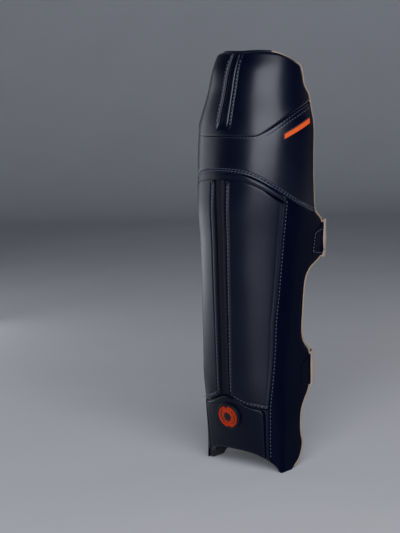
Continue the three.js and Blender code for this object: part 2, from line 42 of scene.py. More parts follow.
# The leg form that every layer lies on, in millimetres and degrees. Levels are
# shares of its height, the other columns shares of the named sizes.
legForm = {
    "height": 530.0,
    "halfWidth": 73.6,
    "depth": 82.2,
    "axisSweep": 22.0,
    "wingReach": 44.6,
    "wingTuck": 1.6,
    "lean": 3.5,
    "frontFlat": 0.16,
    "shift": (-1.0712, -17.3092),
    "footZone": 0.113,
    "topZone": 0.892,
    "seamZone": 0.566,
    "bandEdgeFoot": 0.617,
    "wingTop": 0.966,
    "sections": [  # level, half width, depth, axis
        (0.0, 0.822, 0.253, -1.0), (0.057, 0.818, 0.321, -0.955), (0.113, 0.821, 0.432, -0.873),
        (0.189, 0.794, 0.586, -0.782), (0.283, 0.79, 0.679, -0.636), (0.377, 0.817, 0.76, -0.482),
        (0.472, 0.839, 0.849, -0.309), (0.566, 0.886, 0.937, -0.118), (0.66, 0.966, 1.005, -0.027),
        (0.755, 1.003, 1.0, 0.0), (0.83, 0.996, 0.944, 0.0), (0.906, 0.862, 0.84, 0.091),
        (0.962, 0.807, 0.756, 0.136), (1.0, 0.745, 0.649, 0.182),
    ],
    "wingEdge": [  # level, reach behind the axis
        (0.0, -0.114), (0.0075, -0.034), (0.019, 0.17), (0.034, 0.284), (0.057, 0.352),
        (0.075, 0.273), (0.113, 0.227), (0.14, 0.285), (0.165, 0.48), (0.186, 0.68),
        (0.232, 0.675), (0.278, 0.66), (0.297, 0.42), (0.318, 0.29), (0.387, 0.25),
        (0.43, 0.273), (0.464, 0.345), (0.488, 0.58), (0.506, 1.04), (0.549, 0.985),
        (0.595, 0.89), (0.606, 0.7), (0.617, 0.52), (0.632, 0.43), (0.657, 0.36),
        (0.702, 0.266), (0.774, 0.205), (0.83, 0.205), (0.88, 0.22), (0.892, 0.264),
        (0.921, 0.082), (0.943, 0.055), (0.966, 0.0),
    ],
}

# Rims and seams: degrees from the front against level, and the two that run
# down the leg the other way about
seamLines = {
    "lowerRim": [(0, 0.0475), (14, 0.0472), (28, 0.0445), (43, 0.0374), (51, 0.0321),
                 (59, 0.0262), (66, 0.0194), (72, 0.0113), (79, 0.0), (88, 0.0)],
    "upperRim": [(0, 1.0), (41, 1.0), (60, 0.994), (76, 0.981), (88, 0.966), (100, 0.953)],
    "kneeCap": [(0, 0.808), (30, 0.807), (37, 0.808), (44.6, 0.8164), (59, 0.8368),
                (76, 0.8594), (97, 0.88), (120, 0.892)],
    "kneeBand": [(0, 0.7225), (12, 0.722), (23, 0.7195), (32.6, 0.714), (42.5, 0.7031),
                 (52, 0.6893), (62, 0.6738), (72.5, 0.6564), (84, 0.6391), (105, 0.6205),
                 (130, 0.612)],
    "shinFoot": [(0, 0.192), (8, 0.188), (20, 0.177), (31, 0.168), (41, 0.164), (55, 0.158),
                 (70, 0.155)],
    "wing": [(0.0, 55), (0.047, 55.3), (0.102, 56), (0.157, 59), (0.211, 63.5), (0.294, 66.3),
             (0.366, 65.6), (0.445, 67.7), (0.59, 68), (0.72, 67.2)],
    "channelSide": [(0.189, 8.2), (0.5, 8.4), (0.81, 7.4), (1.0, 7.7)],
    "layerGap": 0.5,
    "seamGap": 0.45,
}
mm = 0.001
sides = ((1, "right"), (-1, "left"))
tall = legForm["height"]
innerOff = seamLines["layerGap"]
seamGap = seamLines["seamGap"]


# A smooth line through two columns of a table
def smoothLine(rows, column, placeUnit, valueUnit):
    places = [row[0] * placeUnit for row in rows]
    values = [row[column] * valueUnit for row in rows]

    def at(place):
        if place <= places[0]:
            return values[0]
        if place >= places[-1]:
            return values[-1]
        i = bisect.bisect_right(places, place)
        start, end, low, high = places[i - 1], places[i], values[i - 1], values[i]
        before, valueBefore = (places[i - 2], values[i - 2]) if i > 1 else (end, high)
        after, valueAfter = (places[i + 1], values[i + 1]) if i + 1 < len(places) else (start, low)
        half = (end - start) * 0.5
        a = half / (start - before)
        b = half / (after - end)
        p = (place - start) / (end - start)
        q = p * p
        r = q * p
        return (valueBefore * (2 * a * q - a * r - a * p)
                + low * ((1 + a) * r - (1.5 + 2 * a) * q + (a - 0.5) * p + 1)
                + high * ((1.5 + b) * q - (1 + b) * r + 0.5 * p)
                + valueAfter * (b * r - b * q))

    return at


halfWidthAt = smoothLine(legForm["sections"], 1, tall, legForm["halfWidth"])
depthAt = smoothLine(legForm["sections"], 2, tall, legForm["depth"])
axisAt = smoothLine(legForm["sections"], 3, tall, legForm["axisSweep"])
lowerRimAt = smoothLine(seamLines["lowerRim"], 1, 1, tall)
upperRimAt = smoothLine(seamLines["upperRim"], 1, 1, tall)
kneeCapSeamAt = smoothLine(seamLines["kneeCap"], 1, 1, tall)
kneeBandSeamAt = smoothLine(seamLines["kneeBand"], 1, 1, tall)
shinFootSeamAt = smoothLine(seamLines["shinFoot"], 1, 1, tall)
wingSeamAt = smoothLine(seamLines["wing"], 1, tall, 1)
channelSideAt = smoothLine(seamLines["channelSide"], 1, tall, 1)
leanSlope = math.tan(math.radians(legForm["lean"]))


def mix(low, high, share):
    return low + (high - low) * share


def easeIn(share):
    share = min(max(share, 0.0), 1.0)
    return share * share * (3 - 2 * share)


# The wings' rear edge, with its corners rounded as cut leather is
cornerReachAt = smoothLine(legForm["wingEdge"], 1, tall, legForm["wingReach"])


def edgeReachAt(height):
    width = 1.0 + 3.0 * easeIn(height / 20)
    steps = (-1, -0.66, -0.33, 0, 0.33, 0.66, 1)
    return sum(cornerReachAt(height + step * width) for step in steps) / len(steps)


reachTable = [(step * 0.5, edgeReachAt(step * 0.5)) for step in range(int(tall) * 2 + 1)]


def rearTurnAt(height):
    place = min(max(height, 0), tall - 1) * 2
    i = int(place)
    behind = mix(reachTable[i][1], reachTable[i + 1][1], place - i) - axisAt(height)
    if behind >= 0:
        return 90 + behind
    return 90 + math.degrees(math.asin(behind / depthAt(height)))


# A point on the form, in millimetres. Past a quarter turn each unit of turn is
# a millimetre straight back, and off is the distance out from the padding.
def formPoint(turn, height, off):
    size = abs(turn)
    halfWidth, depth = halfWidthAt(height), depthAt(height)
    angle = math.radians(min(size, 90))
    back = max(size - 90, 0)
    tuck = legForm["wingTuck"] * (back / legForm["wingReach"]) ** 2
    outX, outY = math.sin(angle) / halfWidth, -math.cos(angle) / depth
    if back > 0:
        outX, outY = 1.0, 2 * tuck / back
    length = math.hypot(outX, outY)
    x = halfWidth * math.sin(angle) - tuck + off * outX / length
    flatter = 1 + legForm["frontFlat"] / 2 - legForm["frontFlat"] * math.cos(angle) ** 2
    y = axisAt(height) - depth * math.cos(angle) * flatter + back + off * outY / length
    return Vector((-x if turn < 0 else x, y + leanSlope * height, height))


def placed(point):
    return Vector((point.x + legForm["shift"][0], point.y + legForm["shift"][1], point.z)) * mm


def onForm(turn, height, off):
    return placed(formPoint(turn, height, off))


def turnFor(distance, height):
    return math.degrees(distance / halfWidthAt(height))


def arcOf(turn, height):
    return math.radians(turn) * halfWidthAt(height)


# A piece's edge beside a seam, half the gap away
def above(seamAt, turn):
    return seamAt(turn) + seamGap / 2


def below(seamAt, turn):
    return seamAt(turn) - seamGap / 2


def floorAt(turn):
    return max(0.0, lowerRimAt(abs(turn)))


def roofAt(turn):
    return upperRimAt(abs(turn))


# Rows that run from the lower rim to the upper rim, level between them
def wholeHeightAt(turn, level):
    low, high = legForm["footZone"] * tall, legForm["topZone"] * tall
    height = level * tall
    if height < low:
        return mix(floorAt(turn), low, height / low)
    if height <= high:
        return height
    return mix(high, roofAt(turn), (height - high) / (legForm["wingTop"] * tall - high))


# The turn and height a share of the way from one line to the wing's edge
def towardsEdge(startOf, share, heightOf):
    turn = 90
    height = heightOf(turn)
    for _ in range(7):
        turn = mix(startOf(height), rearTurnAt(height), share)
        height = heightOf(turn)
    return turn, height


# Reliefs, all in millimetres
def shoulder(distance, width):
    share = min(max(distance / width, 0.0), 1.0)
    return math.sqrt(1.0 - (1.0 - share) ** 2)


def swell(distance, centre, width):
    return math.exp(-(((distance - centre) / width) ** 2))


# From a panel's thin edge up to its full wall
def rollUp(make, distance, width):
    return mix(make["edge"], make["wall"], shoulder(distance, width))


# Shares from 0 to 1 along a length, close together near its two ends
def spacedShares(length, startZone, endZone, fine, coarse):
    places = [0.0]
    while places[-1] < length - fine * 0.5:
        here = places[-1]
        step = fine if here < startZone or here > length - endZone - coarse else coarse
        places.append(min(here + step, length))
    places[-1] = length
    return [place / length for place in places]


def finishModifier(piece, kind, **values):
    bpy.ops.object.modifier_add(type=kind)
    modifier = piece.modifiers[-1]
    for key, value in values.items():
        setattr(modifier, key, value)
    bpy.ops.object.modifier_apply(modifier=modifier.name)


def pickOnly(*pieces):
    bpy.ops.object.select_all(action="DESELECT")
    for piece in pieces:
        piece.select_set(True)
    bpy.context.view_layer.objects.active = pieces[0]


def joinPieces(pieces, name):
    pickOnly(*pieces)
    bpy.ops.object.join()
    bpy.context.object.name = name
    return bpy.context.object


def intoEdit(action="SELECT", kind=None):
    bpy.ops.object.mode_set(mode="EDIT")
    if kind:
        bpy.ops.mesh.select_mode(type=kind)
    bpy.ops.mesh.select_all(action=action)


def outOfEdit():
    bpy.ops.object.mode_set(mode="OBJECT")


def putInScene(name, data):
    made = bpy.data.objects.new(name, data)
    bpy.context.scene.collection.objects.link(made)
    return made


def smoothShade(piece, angle=40):
    pickOnly(piece)
    bpy.ops.object.shade_smooth_by_angle(angle=math.radians(angle))
    piece.select_set(False)


# Lays a grid on the form. layAt gives a point, how near it is to an edge, bead, ridge or roll
# crown, which lightens its colour (rubbed wear and a painted highlight), and the lengths along and
# up that the finish follows.
def layGrid(name, columns, rows, layAt):
    bpy.ops.object.select_all(action="DESELECT")
    bpy.ops.mesh.primitive_grid_add(x_subdivisions=len(columns) - 1,
                                    y_subdivisions=len(rows) - 1, size=1)
    piece = bpy.context.object
    mesh = piece.data
    piece.name = mesh.name = name
    edge = mesh.attributes.new("edge", "FLOAT", "POINT")
    lengths = []
    for vertex in mesh.vertices:
        column = columns[round((vertex.co.x + 0.5) * (len(columns) - 1))]
        row = rows[round((vertex.co.y + 0.5) * (len(rows) - 1))]
        point, near, along, up = layAt(column, row)
        vertex.co = point
        edge.data[vertex.index].value = near
        lengths.append((along * mm, up * mm))
    for loop in mesh.loops:
        mesh.uv_layers.active.data[loop.index].uv = lengths[loop.vertex_index]
    return piece


def finishPanel(piece, wall, material, node):
    finishModifier(piece, "SOLIDIFY", thickness=wall * mm, offset=-1)
    dress(piece, material)
    if node:
        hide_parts(node)
    smoothShade(piece)


def dress(piece, material):
    piece.data.materials.clear()
    piece.data.materials.append(material)
    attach(piece, "root")


# Adds a node. Its feeds are sockets to link or values to set, by input.
def addNode(tree, kind, x=0, y=0, feeds=(), **values):
    made = tree.nodes.new(kind)
    made.location = (x, y)
    for key, value in values.items():
        setattr(made, key, value)
    feed(tree, made, dict(feeds))
    return made


def feed(tree, made, feeds):
    for key, value in feeds.items():
        if isinstance(value, bpy.types.NodeSocket):
            tree.links.new(value, made.inputs[key])
        elif value is not None:
            made.inputs[key].default_value = value


def newGroup(name, inputs, outputs):
    group = bpy.data.node_groups.new(name, "ShaderNodeTree")
    for socketName, kind, default in inputs:
        socket = group.interface.new_socket(name=socketName, in_out="INPUT", socket_type=kind)
        if default is not None:
            socket.default_value = default
    for socketName, kind in outputs:
        group.interface.new_socket(name=socketName, in_out="OUTPUT", socket_type=kind)
    start = addNode(group, "NodeGroupInput", -900, 0)
    end = addNode(group, "NodeGroupOutput", 700, 0)
    return group, start, end


def mathNode(tree, operation, first, second, x=0, y=0):
    return addNode(tree, "ShaderNodeMath", x, y, {0: first, 1: second},
                   operation=operation).outputs[0]


# Grain of finished leather: fine pebbles, and slow unevenness under them
def makeGrainGroup():
    group, start, end = newGroup(
        "leatherGrain",
        [("Place", "NodeSocketVector", None), ("Pebble Scale", "NodeSocketFloat", 900.0),
         ("Pebble", "NodeSocketFloat", 0.5), ("Crease", "NodeSocketFloat", 0.5)],
        [("Height", "NodeSocketFloat"), ("Cloud", "NodeSocketFloat")])
    place = start.outputs["Place"]
    pebbles = addNode(group, "ShaderNodeTexVoronoi", -600, 200,
                      {"Vector": place, "Scale": start.outputs["Pebble Scale"],
                       "Smoothness": 0.6}, feature="SMOOTH_F1")
    fine = addNode(group, "ShaderNodeTexNoise", -600, -50,
                   {"Vector": place, "Scale": 420, "Detail": 3})
    slow = addNode(group, "ShaderNodeTexNoise", -600, -300,
                   {"Vector": place, "Scale": 34, "Detail": 4})
    pebbleHeight = mathNode(group, "MULTIPLY", pebbles.outputs["Distance"],
                            start.outputs["Pebble"], -350, 200)
    fineHeight = mathNode(group, "MULTIPLY", fine.outputs["Fac"], 0.35, -350, 0)
    creaseHeight = mathNode(group, "MULTIPLY", slow.outputs["Fac"],
                            start.outputs["Crease"], -350, -250)
    height = mathNode(group, "ADD", pebbleHeight, fineHeight, -100, 100)
    height = mathNode(group, "ADD", height, creaseHeight, 100, 50)
    feed(group, end, {"Height": height, "Cloud": slow.outputs["Fac"]})
    return group


# Lightening from rubbed wear at the borders and a painted highlight on beads, ridges and roll
# crowns, broken up by noise
def makeWearAndHighlightGroup():
    group, start, end = newGroup(
        "edgeWearAndHighlight",
        [("Place", "NodeSocketVector", None), ("Edge", "NodeSocketFloat", 0.0),
         ("Amount", "NodeSocketFloat", 0.5)],
        [("Mask", "NodeSocketFloat")])
    noise = addNode(group, "ShaderNodeTexNoise", -600, -100,
                    {"Vector": start.outputs["Place"], "Scale": 150, "Detail": 4})
    broken = mathNode(group, "MULTIPLY", start.outputs["Edge"], noise.outputs["Fac"], -300, 0)
    mask = mathNode(group, "MULTIPLY", broken, start.outputs["Amount"], -100, 0)
    feed(group, end, {"Mask": mask})
    return group


# Weave: threads over and under each other along the piece's own lengths
def makeWeaveGroup():
    group, start, end = newGroup(
        "threadWeave",
        [("Lengths", "NodeSocketVector", None), ("Threads", "NodeSocketFloat", 900.0)],
        [("Height", "NodeSocketFloat"), ("Shade", "NodeSocketFloat")])
    split = addNode(group, "ShaderNodeSeparateXYZ", -700, 0, {0: start.outputs["Lengths"]})
    waves = []
    for row, axis in enumerate(("X", "Y")):
        turns = mathNode(group, "MULTIPLY", split.outputs[axis], start.outputs["Threads"],
                         -500, -150 * row)
        waves.append(mathNode(group, "SINE", mathNode(group, "MULTIPLY", turns, math.pi, -350,
                                                      -150 * row), None, -200, -150 * row))
    product = mathNode(group, "MULTIPLY", waves[0], waves[1], 0, 0)
    height = mathNode(group, "ABSOLUTE", waves[0], None, 0, -150)
    crossed = mathNode(group, "ADD", height, product, 150, 0)
    feed(group, end, {"Height": crossed, "Shade": product})
    return group


grainGroup = makeGrainGroup()
wearAndHighlightGroup = makeWearAndHighlightGroup()
weaveGroup = makeWeaveGroup()


def newMaterial(name):
    material = bpy.data.materials.new(name)
    material.use_nodes = True
    tree = material.node_tree
    shader = tree.nodes["Principled BSDF"]
    return material, tree, shader


def mixColor(tree, share, low, high, x, y):
    made = addNode(tree, "ShaderNodeMix", x, y, data_type="RGBA")
    colorInputs = [socket for socket in made.inputs if socket.type == "RGBA"]
    for socket, value in zip(colorInputs, (low, high)):
        if isinstance(value, tuple):
            socket.default_value = (*value, 1)
        else:
            tree.links.new(value, socket)
    tree.links.new(share, made.inputs["Factor"])
    return next(socket for socket in made.outputs if socket.type == "RGBA")


# lighter navy for rubbed edges and for painted highlights on raised beads, ridges and roll crowns
wornAndHighlit = (0.016, 0.016, 0.030)


def addBump(tree, shader, height, strength, distance):
    bump = addNode(tree, "ShaderNodeBump", -400, -300,
                   {"Strength": strength, "Distance": distance, "Height": height})
    feed(tree, shader, {"Normal": bump.outputs["Normal"]})


# Leather: dark dyed hide with grain, slow colour change, rubbed edges and painted highlights on its
# beads and ridges
def leatherMaterial(name, color, cloudColor, roughness, pebble, crease, wearAndHighlight, specular):
    material, tree, shader = newMaterial(name)
    place = addNode(tree, "ShaderNodeTexCoord", -1100, 0).outputs["Object"]
    grain = addNode(tree, "ShaderNodeGroup", -850, 0, node_tree=grainGroup)
    feed(tree, grain, {"Place": place, "Pebble": pebble, "Crease": crease})
    edge = addNode(tree, "ShaderNodeAttribute", -1100, -300, attribute_name="edge")
    wornAndLit = addNode(tree, "ShaderNodeGroup", -850, -300, node_tree=wearAndHighlightGroup)
    feed(tree, wornAndLit, {"Place": place, "Edge": edge.outputs["Fac"], "Amount": wearAndHighlight})
    cloud = grain.outputs["Cloud"]
    dyed = mixColor(tree, cloud, color, cloudColor, -600, 200)
    gloss = mathNode(tree, "MULTIPLY", cloud, 0.12, -600, -100)
    feed(tree, shader, {
        "Base Color": mixColor(tree, wornAndLit.outputs["Mask"], dyed, wornAndHighlit, -400, 200),
        "Roughness": mathNode(tree, "ADD", gloss, roughness, -400, -100),
        "Specular IOR Level": specular})
    addBump(tree, shader, grain.outputs["Height"], 0.28, 0.35 * mm)
    return material


# Woven cloth on the piece's own lengths
def wovenMaterial(name, color, lightColor, threads, roughness, depth):
    material, tree, shader = newMaterial(name)
    lengths = addNode(tree, "ShaderNodeTexCoord", -1100, 0).outputs["UV"]
    weave = addNode(tree, "ShaderNodeGroup", -850, 0, node_tree=weaveGroup)
    feed(tree, weave, {"Lengths": lengths, "Threads": threads})
    shade = mathNode(tree, "MULTIPLY_ADD", weave.outputs["Shade"], 0.5, -600, 100)
    shade.node.inputs[2].default_value = 0.5
    feed(tree, shader, {"Base Color": mixColor(tree, shade, color, lightColor, -400, 150),
                        "Roughness": roughness, "Specular IOR Level": 0.25,
                        "Sheen Weight": 0.15})
    addBump(tree, shader, weave.outputs["Height"], 0.6, depth * mm)
    return material


# Enamel, rubber and thread: one colour broken up by fine noise
def coatedMaterial(name, color, dimColor, roughness, scale, depth, specular=0.4):
    material, tree, shader = newMaterial(name)
    place = addNode(tree, "ShaderNodeTexCoord", -1100, 0).outputs["Object"]
    noise = addNode(tree, "ShaderNodeTexNoise", -850, 0,
                    {"Scale": scale, "Detail": 5, "Vector": place}).outputs["Fac"]
    gloss = mathNode(tree, "MULTIPLY", noise, 0.2, -600, -100)
    feed(tree, shader, {"Base Color": mixColor(tree, noise, color, dimColor, -400, 150),
                        "Roughness": mathNode(tree, "ADD", gloss, roughness, -400, -100),
                        "Specular IOR Level": specular})
    addBump(tree, shader, noise, 0.35, depth * mm)
    return material


navy, navyCloud = (0.0003, 0.0004, 0.0070), (0.0006, 0.0008, 0.0100)
capLeather = leatherMaterial("capLeather", navy, navyCloud, 0.27, 0.5, 0.5, 0.5, 0.4)
panelLeather = leatherMaterial("panelLeather", navy, navyCloud, 0.3, 0.5, 0.4, 0.55, 0.32)
ankleLeather = leatherMaterial("ankleLeather", navy, navyCloud, 0.3, 0.5, 0.4, 0.5, 0.26)
wingLeather = leatherMaterial("wingLeather", navy, navyCloud, 0.36, 0.55, 0.6, 0.4, 0.07)
stripLeather = leatherMaterial("stripLeather", (0.0035, 0.0030, 0.008), (0.0055, 0.0047, 0.012),
                               0.46, 0.7, 0.3, 0.4, 0.16)
bindingLeather = leatherMaterial("bindingLeather", (0.002, 0.0022, 0.010), (0.003, 0.0035, 0.013),
                                 0.4, 0.5, 0.4, 0.3, 0.3)
# tan colour of the rear-edge piping: a painted warm rim light
paintedRimLightPiping = coatedMaterial("paintedRimLightPiping", (0.29, 0.215, 0.15), (0.20, 0.15, 0.10), 0.5, 500,
                           0.15, 0.3)
paleThread = coatedMaterial("paleThread", (0.12, 0.12, 0.18), (0.075, 0.075, 0.11), 0.6,
                            1500, 0.05, 0.2)
liningCloth = wovenMaterial("liningCloth", (0.0015, 0.0015, 0.005), (0.004, 0.004, 0.009), 850,
                            0.85, 0.25)
# tan colour of the strap webbing: a painted warm rim light on the strap
paintedRimLightWebbing = wovenMaterial("paintedRimLightWebbing", (0.23, 0.17, 0.12), (0.31, 0.235, 0.17), 620,
                             0.55, 0.3)
emblemOrange = coatedMaterial("emblemOrange", (0.37, 0.024, 0.002), (0.27, 0.016, 0.0015), 0.45,
                              300, 0.1, 0.3)
emblemDark = coatedMaterial("emblemDark", (0.003, 0.0032, 0.010), (0.006, 0.006, 0.014), 0.36,
                            400, 0.08, 0.3)
tagOrange = coatedMaterial("tagOrange", (0.80, 0.066, 0.0), (0.66, 0.052, 0.0), 0.7, 350,
                           0.08, 0.15)
tagEdge = coatedMaterial("tagEdge", (0.020, 0.018, 0.032), (0.012, 0.011, 0.020), 0.5, 400, 0.08)
print("materials made")

# Knee cap
kneeCap = {
    "wall": 3.6, "skin": 0.9,
    "footRoll": 4.0, "footEdge": (3.0, 1.1), "overlapTurn": 38.0, "overlapGrow": 20.0,
    "topRoll": 3.6, "topEdge": -1.6, "rearRoll": 3.0, "rearEdge": 1.2, "footLip": 0.5,
    "channelFoot": 434.0, "channelFade": 11.0, "beadPlace": 1.3,
    "ridgePlace": -5.0, "ridgeRise": 0.25, "leftFlat": 0.65,
    "channelShape": [  # from the channel's side, outwards: height over the padding
        (-7.0, 1.5), (-4.9, 1.4), (-4.0, 0.9), (-3.0, 0.6), (-1.0, 0.55), (-0.45, 0.7),
        (-0.15, 1.5), (0.1, 2.9), (0.4, 3.45), (0.8, 3.6), (1.3, 3.64), (1.9, 3.6), (2.3, 3.42),
        (2.7, 3.2), (3.1, 3.38), (3.6, 3.56), (5.0, 3.6), (10.0, 3.6),
    ],
}
capChannelAt = smoothLine(kneeCap["channelShape"], 1, 1, 1)
fullTurn = 68.0


# Columns of turns from the front to 68 degrees, then shares towards the edge.
# Those near the channel keep their distance from its side at every height.
def wrapColumns(frontTurns, shares):
    half = [turn if isinstance(turn, tuple) else ("turn", turn) for turn in frontTurns]
    half += [("share", share) for share in shares]
    other = [(kind, value, -1) for kind, value in half[1:]]
    return list(reversed(other)) + [(kind, value, 1) for kind, value in half]


def onColumn(column, heightOf):
    kind, value = column[:2]
    if kind == "turn":
        return value, heightOf(value)
    if kind == "share":
        return towardsEdge(lambda height: fullTurn, value, heightOf)
    turn = 0.0
    for _ in range(6):
        height = heightOf(turn)
        channelSide = channelSideAt(height)
        turn = channelSide * value if kind == "inside" else channelSide + turnFor(value, height)
    return turn, height


def evenSteps(start, end, count):
    return [mix(start, end, step / count) for step in range(count + 1)]


def capRelief(turn, height, side, dFoot, dTop, dEdge):
    outwards = arcOf(turn - channelSideAt(height), height)
    opened = easeIn((height - kneeCap["channelFoot"]) / kneeCap["channelFade"])
    channel = capChannelAt(outwards)
    if side > 0:
        channel += kneeCap["ridgeRise"] * swell(outwards, kneeCap["ridgePlace"], 0.6)
    elif outwards > 1:
        channel = mix(channel, kneeCap["wall"], kneeCap["leftFlat"])
    face = mix(kneeCap["wall"], channel, opened)
    overlap = easeIn((turn - kneeCap["overlapTurn"]) / kneeCap["overlapGrow"])
    low = mix(mix(*kneeCap["footEdge"], overlap), face, shoulder(dFoot, kneeCap["footRoll"]))
    low += kneeCap["footLip"] * swell(dFoot, 4.5, 3.5) * overlap
    rear = mix(kneeCap["rearEdge"], kneeCap["wall"], shoulder(dEdge, kneeCap["rearRoll"]))
    body = min(low, rear) if dEdge < kneeCap["rearRoll"] else low
    return mix(kneeCap["topEdge"], body, shoulder(dTop, kneeCap["topRoll"]))


def capAt(column, row):
    def heightOf(turn):
        return mix(above(kneeCapSeamAt, turn), roofAt(turn), row)

    turn, height = onColumn(column, heightOf)
    dFoot, dTop = height - above(kneeCapSeamAt, turn), roofAt(turn) - height
    dEdge = arcOf(max(rearTurnAt(height) - turn, 0), height)
    off = innerOff + capRelief(turn, height, column[2], dFoot, dTop, dEdge)
    arc = column[2] * arcOf(turn, height)
    side = arcOf(channelSideAt(height), height)
    bead = swell(abs(arc) - side, kneeCap["beadPlace"], 1.0)
    bead *= height > kneeCap["channelFoot"] + 4
    # lightening at the cap's foot, top and stitched bead: rubbed wear and a painted highlight
    near = max(swell(dFoot, 0.8, 1.6), swell(dTop, 1.0, 2.0), bead)
    return onForm(column[2] * turn, height, off), near, arc, height


capFront = [("inside", share) for share in (0.0, 0.09, 0.17)]
capFront += [("beside", place) for place in evenSteps(-5.9, 6.6, 44)]
capFront += evenSteps(15.5, fullTurn, 26)
capColumns = wrapColumns(capFront, evenSteps(0, 1, 12)[1:-2] + [0.9, 0.94, 0.97, 0.985, 1.0])
capRows = spacedShares(96, 8, 11, 0.5, 2.2)
capPiece = layGrid("knee_cap_leather", capColumns, capRows, capAt)
finishPanel(capPiece, kneeCap["skin"], capLeather, "knee_cap")
print("knee cap made")

# Knee band, with two stitched rows along its foot
kneeBand = {
    "wall": 2.8, "skin": 0.9, "edge": 1.9, "footRoll": 1.4, "topEdge": (2.5, 0.9),
    "topRoll": 2.6,
    "footRows": (2.4, 4.9), "topRow": 1.5, "sideRow": 6.4, "sideRowTurn": 44.0,
    "stitchDip": 0.4, "rowRise": 0.35,
}


def bandAt(column, row):
    def heightOf(turn):
        return mix(above(kneeBandSeamAt, turn), below(kneeCapSeamAt, turn), row)

    turn, height = onColumn(column, heightOf)
    dFoot = height - above(kneeBandSeamAt, turn)
    dTop = below(kneeCapSeamAt, turn) - height
    footEdge = mix(kneeBand["wall"], kneeBand["edge"], easeIn((column[2] * turn - 12) / 26))
    off = mix(footEdge, kneeBand["wall"], shoulder(dFoot, kneeBand["footRoll"]))
    overlap = easeIn((turn - kneeCap["overlapTurn"]) / kneeCap["overlapGrow"])
    topEdge = mix(*kneeBand["topEdge"], overlap)
    off = min(off, mix(topEdge, kneeBand["wall"], shoulder(dTop, kneeBand["topRoll"])))
    for place in kneeBand["footRows"]:
        off -= kneeBand["stitchDip"] * swell(dFoot, place, 0.7)
    off += kneeBand["rowRise"] * swell(dFoot, mix(*kneeBand["footRows"], 0.5), 0.7)
    sideOn = easeIn((turn - kneeBand["sideRowTurn"]) / 6)
    off -= kneeBand["rowRise"] * swell(dTop, kneeBand["sideRow"], 0.7) * sideOn
    arc = column[2] * arcOf(turn, height)
    # lightening at the foot and on the raised row: rubbed wear and a painted highlight
    near = max(swell(dFoot, 0.6, 1.0), swell(dFoot, 3.6, 0.7) * 0.6)
    return onForm(column[2] * turn, height, innerOff + off), near, arc, height


bandColumns = wrapColumns(evenSteps(0, fullTurn, 40), evenSteps(0, 1, 14)[1:])
bandRows = spacedShares(60, 8, 9, 0.45, 2.0)
bandPiece = layGrid("knee_band_leather", bandColumns, bandRows, bandAt)
finishPanel(bandPiece, kneeBand["skin"], capLeather, "knee_band")
print("knee band made")

# Shin panels and the fold above them
shinPanel = {
    "wall": 5.0, "skin": 1.0, "edge": 1.4, "closedEdge": 4.8, "outerRoll": 3.2,
    "topRoll": 3.5, "footRoll": 3.6, "footRidge": 0.5, "outerRidge": 0.45,
    "rollHeight": 8.5, "rollWall": 6.0, "rollFoot": (4.6, 1.4), "rollTop": 2.9,
    "innerShape": [  # from the panel's inner edge: height over the padding
        (0.0, 1.8), (0.15, 2.6), (0.4, 4.1), (0.8, 4.8), (1.4, 4.95), (2.1, 4.85), (2.6, 4.5),
        (3.0, 4.15), (3.4, 4.45), (4.0, 4.85), (5.2, 5.0), (14.0, 5.0),
    ],
    "beadPlace": 1.4, "nominal": 60.0, "creaseTurn": 43.0,
    "frontTop": 3.5, "frontBottom": 2.8, "frontSlope": 45.0,
    "footRow": 3.2, "footSink": 2.4, "footSlope": 45.0,
}
shinInnerAt = smoothLine(shinPanel["innerShape"], 1, 1, 1)


def shinTopAt(turn):
    return below(kneeBandSeamAt, turn) - shinPanel["rollHeight"]


def shinRange(height):
    gap = turnFor(seamGap / 2, height)
    return channelSideAt(height) + gap, wingSeamAt(height) - gap


def shinPlace(column, row):
    height, turn = 300.0, 0.0
    for _ in range(7):
        inner, outer = shinRange(height)
        turn = mix(inner, outer, column)
        height = mix(above(shinFootSeamAt, turn), shinTopAt(turn) - seamGap, row)
    return turn, height


# How open the crease between the panel and its roll is: only towards the right
def creaseAt(turn):
    return easeIn((turn - shinPanel["creaseTurn"]) / 20)


# How flush the panel's top lies with the band: over the front and the left
def flushAt(turn):
    return 1 - easeIn((turn - 14) / 28)


def shinRelief(turn, dIn, dOut, dFoot, dTop):
    face = shinPanel["wall"]
    footSunk = 1 - easeIn(dFoot / shinPanel["footSlope"])
    face -= shinPanel["footSink"] * footSunk * easeIn((-turn - 22) / 24)
    outer = mix(shinPanel["edge"], face, shoulder(dOut, shinPanel["outerRoll"]))
    outer += shinPanel["outerRidge"] * swell(dOut, 2.6, 1.1) - 0.25 * swell(dOut, 5.4, 1.6)
    foot = mix(shinPanel["edge"], face, shoulder(dFoot, shinPanel["footRoll"]))
    foot += shinPanel["footRidge"] * swell(dFoot, 3.0, 1.3) - 0.35 * swell(dFoot, 5.8, 1.2)
    topEdge = mix(shinPanel["closedEdge"], shinPanel["edge"], creaseAt(turn))
    top = mix(topEdge, face, shoulder(dTop, shinPanel["topRoll"]))
    inner = mix(face, shinInnerAt(dIn), easeIn(dTop / 5))
    sunk = (face - shinPanel["frontTop"]) * (1 - easeIn(dTop / shinPanel["frontSlope"]))
    return min(inner, outer, foot, top) - sunk * flushAt(turn)


def shinAt(side):
    def at(column, row):
        turn, height = shinPlace(column, row)
        dIn, dOut = column * shinPanel["nominal"], (1 - column) * shinPanel["nominal"]
        dFoot = height - above(shinFootSeamAt, turn)
        dTop = shinTopAt(turn) - seamGap - height
        off = innerOff + shinRelief(side * turn, dIn, dOut, dFoot, dTop)
        # lightening along the inner bead, outer ridge and foot: rubbed wear and a painted highlight
        near = max(swell(dIn, shinPanel["beadPlace"], 0.9), swell(dOut, 1.6, 1.4),
                   swell(dFoot, 1.8, 1.6))
        return onForm(side * turn, height, off), near, side * arcOf(turn, height), height
    return at


def sideColumns(columns, side):
    return columns if side > 0 else list(reversed(columns))


